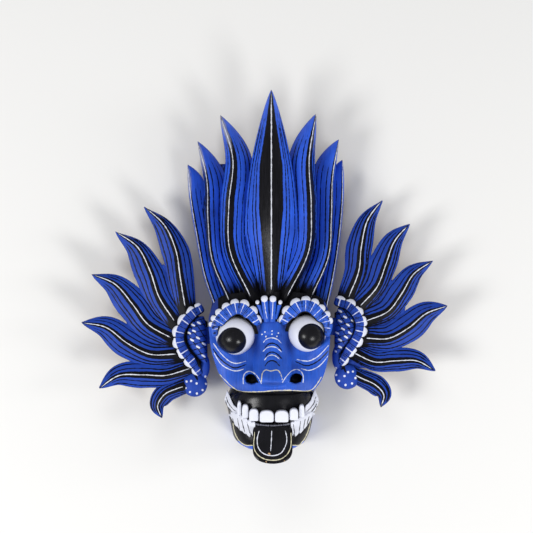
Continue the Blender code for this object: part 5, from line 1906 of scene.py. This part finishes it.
@dataclass
class Tongue:
    """The tongue, dished along its middle and round at its tip, curling forward."""

    middle: float = 2.0
    root: float = -66.6
    length: float = 28.4
    half: float = 15.6
    tip: float = 11.0             # length of the round tip
    front: float = 50.5
    rise: float = 10.0
    thickness: float = 7.5
    dish: float = 1.5
    columns: int = 101
    # Its lines and chips in pixels
    cream: Knots = ((254.6, 432.0), (253.9, 447.0), (257.7, 454.6), (264.6, 459.0),
                    (272.5, 460.2), (280.7, 459), (287.8, 453.6), (291, 445),
                    (291, 433))
    white: Knots = ((259.2, 431.0), (257.2, 439.0), (258.2, 447.3), (263.0, 453.2),
                    (272, 455.7), (280.7, 453.2), (285.8, 445), (286.8, 438),
                    (285.4, 431))
    middle_line: Knots = ((271.7, 431.0), (271.4, 440.0), (270.7, 451.0))
    rim_chips: Knots = ((266.0, 461.8), (284.5, 461.0))
    chips: Knots = ((268.3, 453.6), (269.6, 453.9))

    def shape(self) -> Grid:
        """Carry the section along the tongue.

        Its half width ends in a round tip as (1 - t^2.4)^(1/2.4), t being the share of the way
        along the tip, and its top sinks by 1 - s^2 at the share s of the half width.

        Returns:
            Its rings.
        """
        share = np.concatenate([np.linspace(0, 0.7, 60), 0.7 + 0.3 * np.sin(
            np.linspace(0, math.pi / 2, 50)[1:])])[:, None]
        straight = 1 - self.tip / self.length
        past = np.clip((share - straight) / (1 - straight), 0, 0.999)
        half = self.half * (1 - past ** 2.4) ** (1 / 2.4)
        half = half * (0.8 + 0.2 * np.sqrt(np.clip(1 - (1 - share / 0.16).clip(0) ** 2, 0, 1)))
        front = self.front + self.rise * share ** 1.2 + 2.0 * np.sqrt(np.clip(share / 0.1, 0, 1))
        across = np.linspace(-1, 1, self.columns)[None]
        dish = self.dish * (1 - across ** 2) * np.clip(half / 8, 0, 1)
        rim = 1.8 * np.abs(across) ** 8 + 1.2 * past ** 4
        low = front - self.thickness + 1.6 * past ** 3
        under = np.linspace(1, -1, 24)[None]
        bulge = np.sqrt(np.clip(1 - under ** 2, 0, 1))
        x = np.hstack([self.middle + half * across, self.middle + half * under])
        return np.dstack([x, np.broadcast_to(self.root - self.length * share, x.shape),
                          np.hstack([front - dish - rim,
                                     low - 1.0 * bulge + 2.2 * (1 - bulge)])])

    def build(self, shop: Workshop) -> None:
        """Make the tongue.

        Args:
            shop: makes the pieces.
        """
        rings = self.shape()
        paint = Paint.ground(rings, Brush.TONGUE)
        view = Carver.seen(rings)
        paint.add("cream", brush_line(view, self.cream, 0.85))
        paint.add("white", brush_line(view, self.white, 0.95))
        paint.add("white", brush_line(view, self.middle_line, 0.75))
        paint.add("bare", dots(view, self.rim_chips, 0.5))
        paint.add("bare", dots(view, self.chips, 0.6))
        for colour in ("white", "cream"):
            getattr(paint, colour)[:, self.columns:] = FAR
        shop.add("tongue", rings, paint, GLOSS_FINISH)


# Studio

@dataclass(frozen=True)
class SoftBox:
    """A rectangular light that faces the middle of the mask."""

    name: str
    place: Spot
    size: Place
    power: float
    glossy: bool = True
    target: Spot = (0.0, 0.0, 0.03)

    def hang(self) -> None:
        """Hang the light, turned to the mask."""
        light = bpy.data.lights.new(self.name, "AREA")
        light.shape = "RECTANGLE"
        light.size, light.size_y = self.size
        light.energy = self.power
        lamp = bpy.data.objects.new(self.name, light)
        lamp.location = self.place
        lamp.visible_glossy = self.glossy
        away = Vector(self.target) - lamp.location
        lamp.rotation_euler = away.to_track_quat("-Z", "Y").to_euler()
        bpy.context.scene.collection.objects.link(lamp)


@dataclass
class Studio:
    """A plain pale floor, soft boxes on either side and a camera straight above."""

    carver: Carver
    lights: tuple[SoftBox, ...] = (
        SoftBox("soft_box_left", (-0.80, -0.35, 0.85), (0.42, 0.42), 9.5),
        SoftBox("soft_box_right", (0.62, -0.72, 0.80), (0.36, 0.36), 7.0),
        SoftBox("soft_box_side", (1.15, 0.05, 0.5), (0.3, 0.6), 5.5, glossy=False),
        SoftBox("soft_box_top", (-0.3, 0.9, 1.0), (0.9, 0.5), 4.0, glossy=False))
    sky: tuple[float, ...] = (0.92, 0.94, 1.0, 1.0)
    sky_strength: float = 0.42
    half_view: float = 0.2132     # half of the picture's width at the height of PIXEL_PLANE
    sensor: float = 36.0
    floor_reach: float = 4.0
    floor_level: float = -0.0002

    def floor(self) -> None:
        """Lay the floor under the mask."""
        mesh = bpy.data.meshes.new("floor")
        reach = self.floor_reach
        corners = [(-reach, -reach), (reach, -reach), (reach, reach), (-reach, reach)]
        mesh.from_pydata([(x, y, self.floor_level) for x, y in corners], [], [(0, 1, 2, 3)])
        floor = bpy.data.objects.new("floor", mesh)
        bpy.context.scene.collection.objects.link(floor)
        pot = Palette("floor_card")
        pot.join(Tone.FLOOR.linear(), pot.shader.inputs["Base Color"])
        pot.join(0.9, pot.shader.inputs["Roughness"])
        mesh.materials.append(pot.material)

    def camera(self) -> None:
        """Hang the camera over the photograph's middle, its top towards the crest."""
        data = bpy.data.cameras.new("camera")
        data.sensor_width = self.sensor
        level = (EYE_LEVEL - PIXEL_PLANE) * SHARE
        data.lens = self.sensor / 2 / (self.half_view / level)
        camera = bpy.data.objects.new("camera", data)
        camera.location = (AIM[0] * SHARE + self.carver.shift[0],
                           AIM[1] * SHARE + self.carver.shift[1], EYE_LEVEL * SHARE)
        bpy.context.scene.collection.objects.link(camera)
        bpy.context.scene.camera = camera

    def build(self) -> None:
        """Set up the floor, lights, surroundings and camera."""
        self.floor()
        for light in self.lights:
            light.hang()
        world = bpy.data.worlds.new("studio")
        world.use_nodes = True
        background = world.node_tree.nodes["Background"]
        background.inputs["Color"].default_value = self.sky
        background.inputs["Strength"].default_value = self.sky_strength
        bpy.context.scene.world = world
        bpy.context.scene.view_settings.view_transform = "Standard"
        self.camera()


def main() -> None:
    """Build the mask piece by piece."""
    logging.basicConfig(level=logging.INFO, format="%(name)s %(message)s")
    carver = Carver.from_solids()
    shop = Workshop(carver)
    for part in (FaceBlock(), *EYES, *BROWS, BrowFan(), Mouth(), Tongue(), Crest(), LEFT_EAR,
                 RIGHT_EAR):
        part.build(shop)
    Studio(carver).build()


if __name__ == "__main__":
    main()
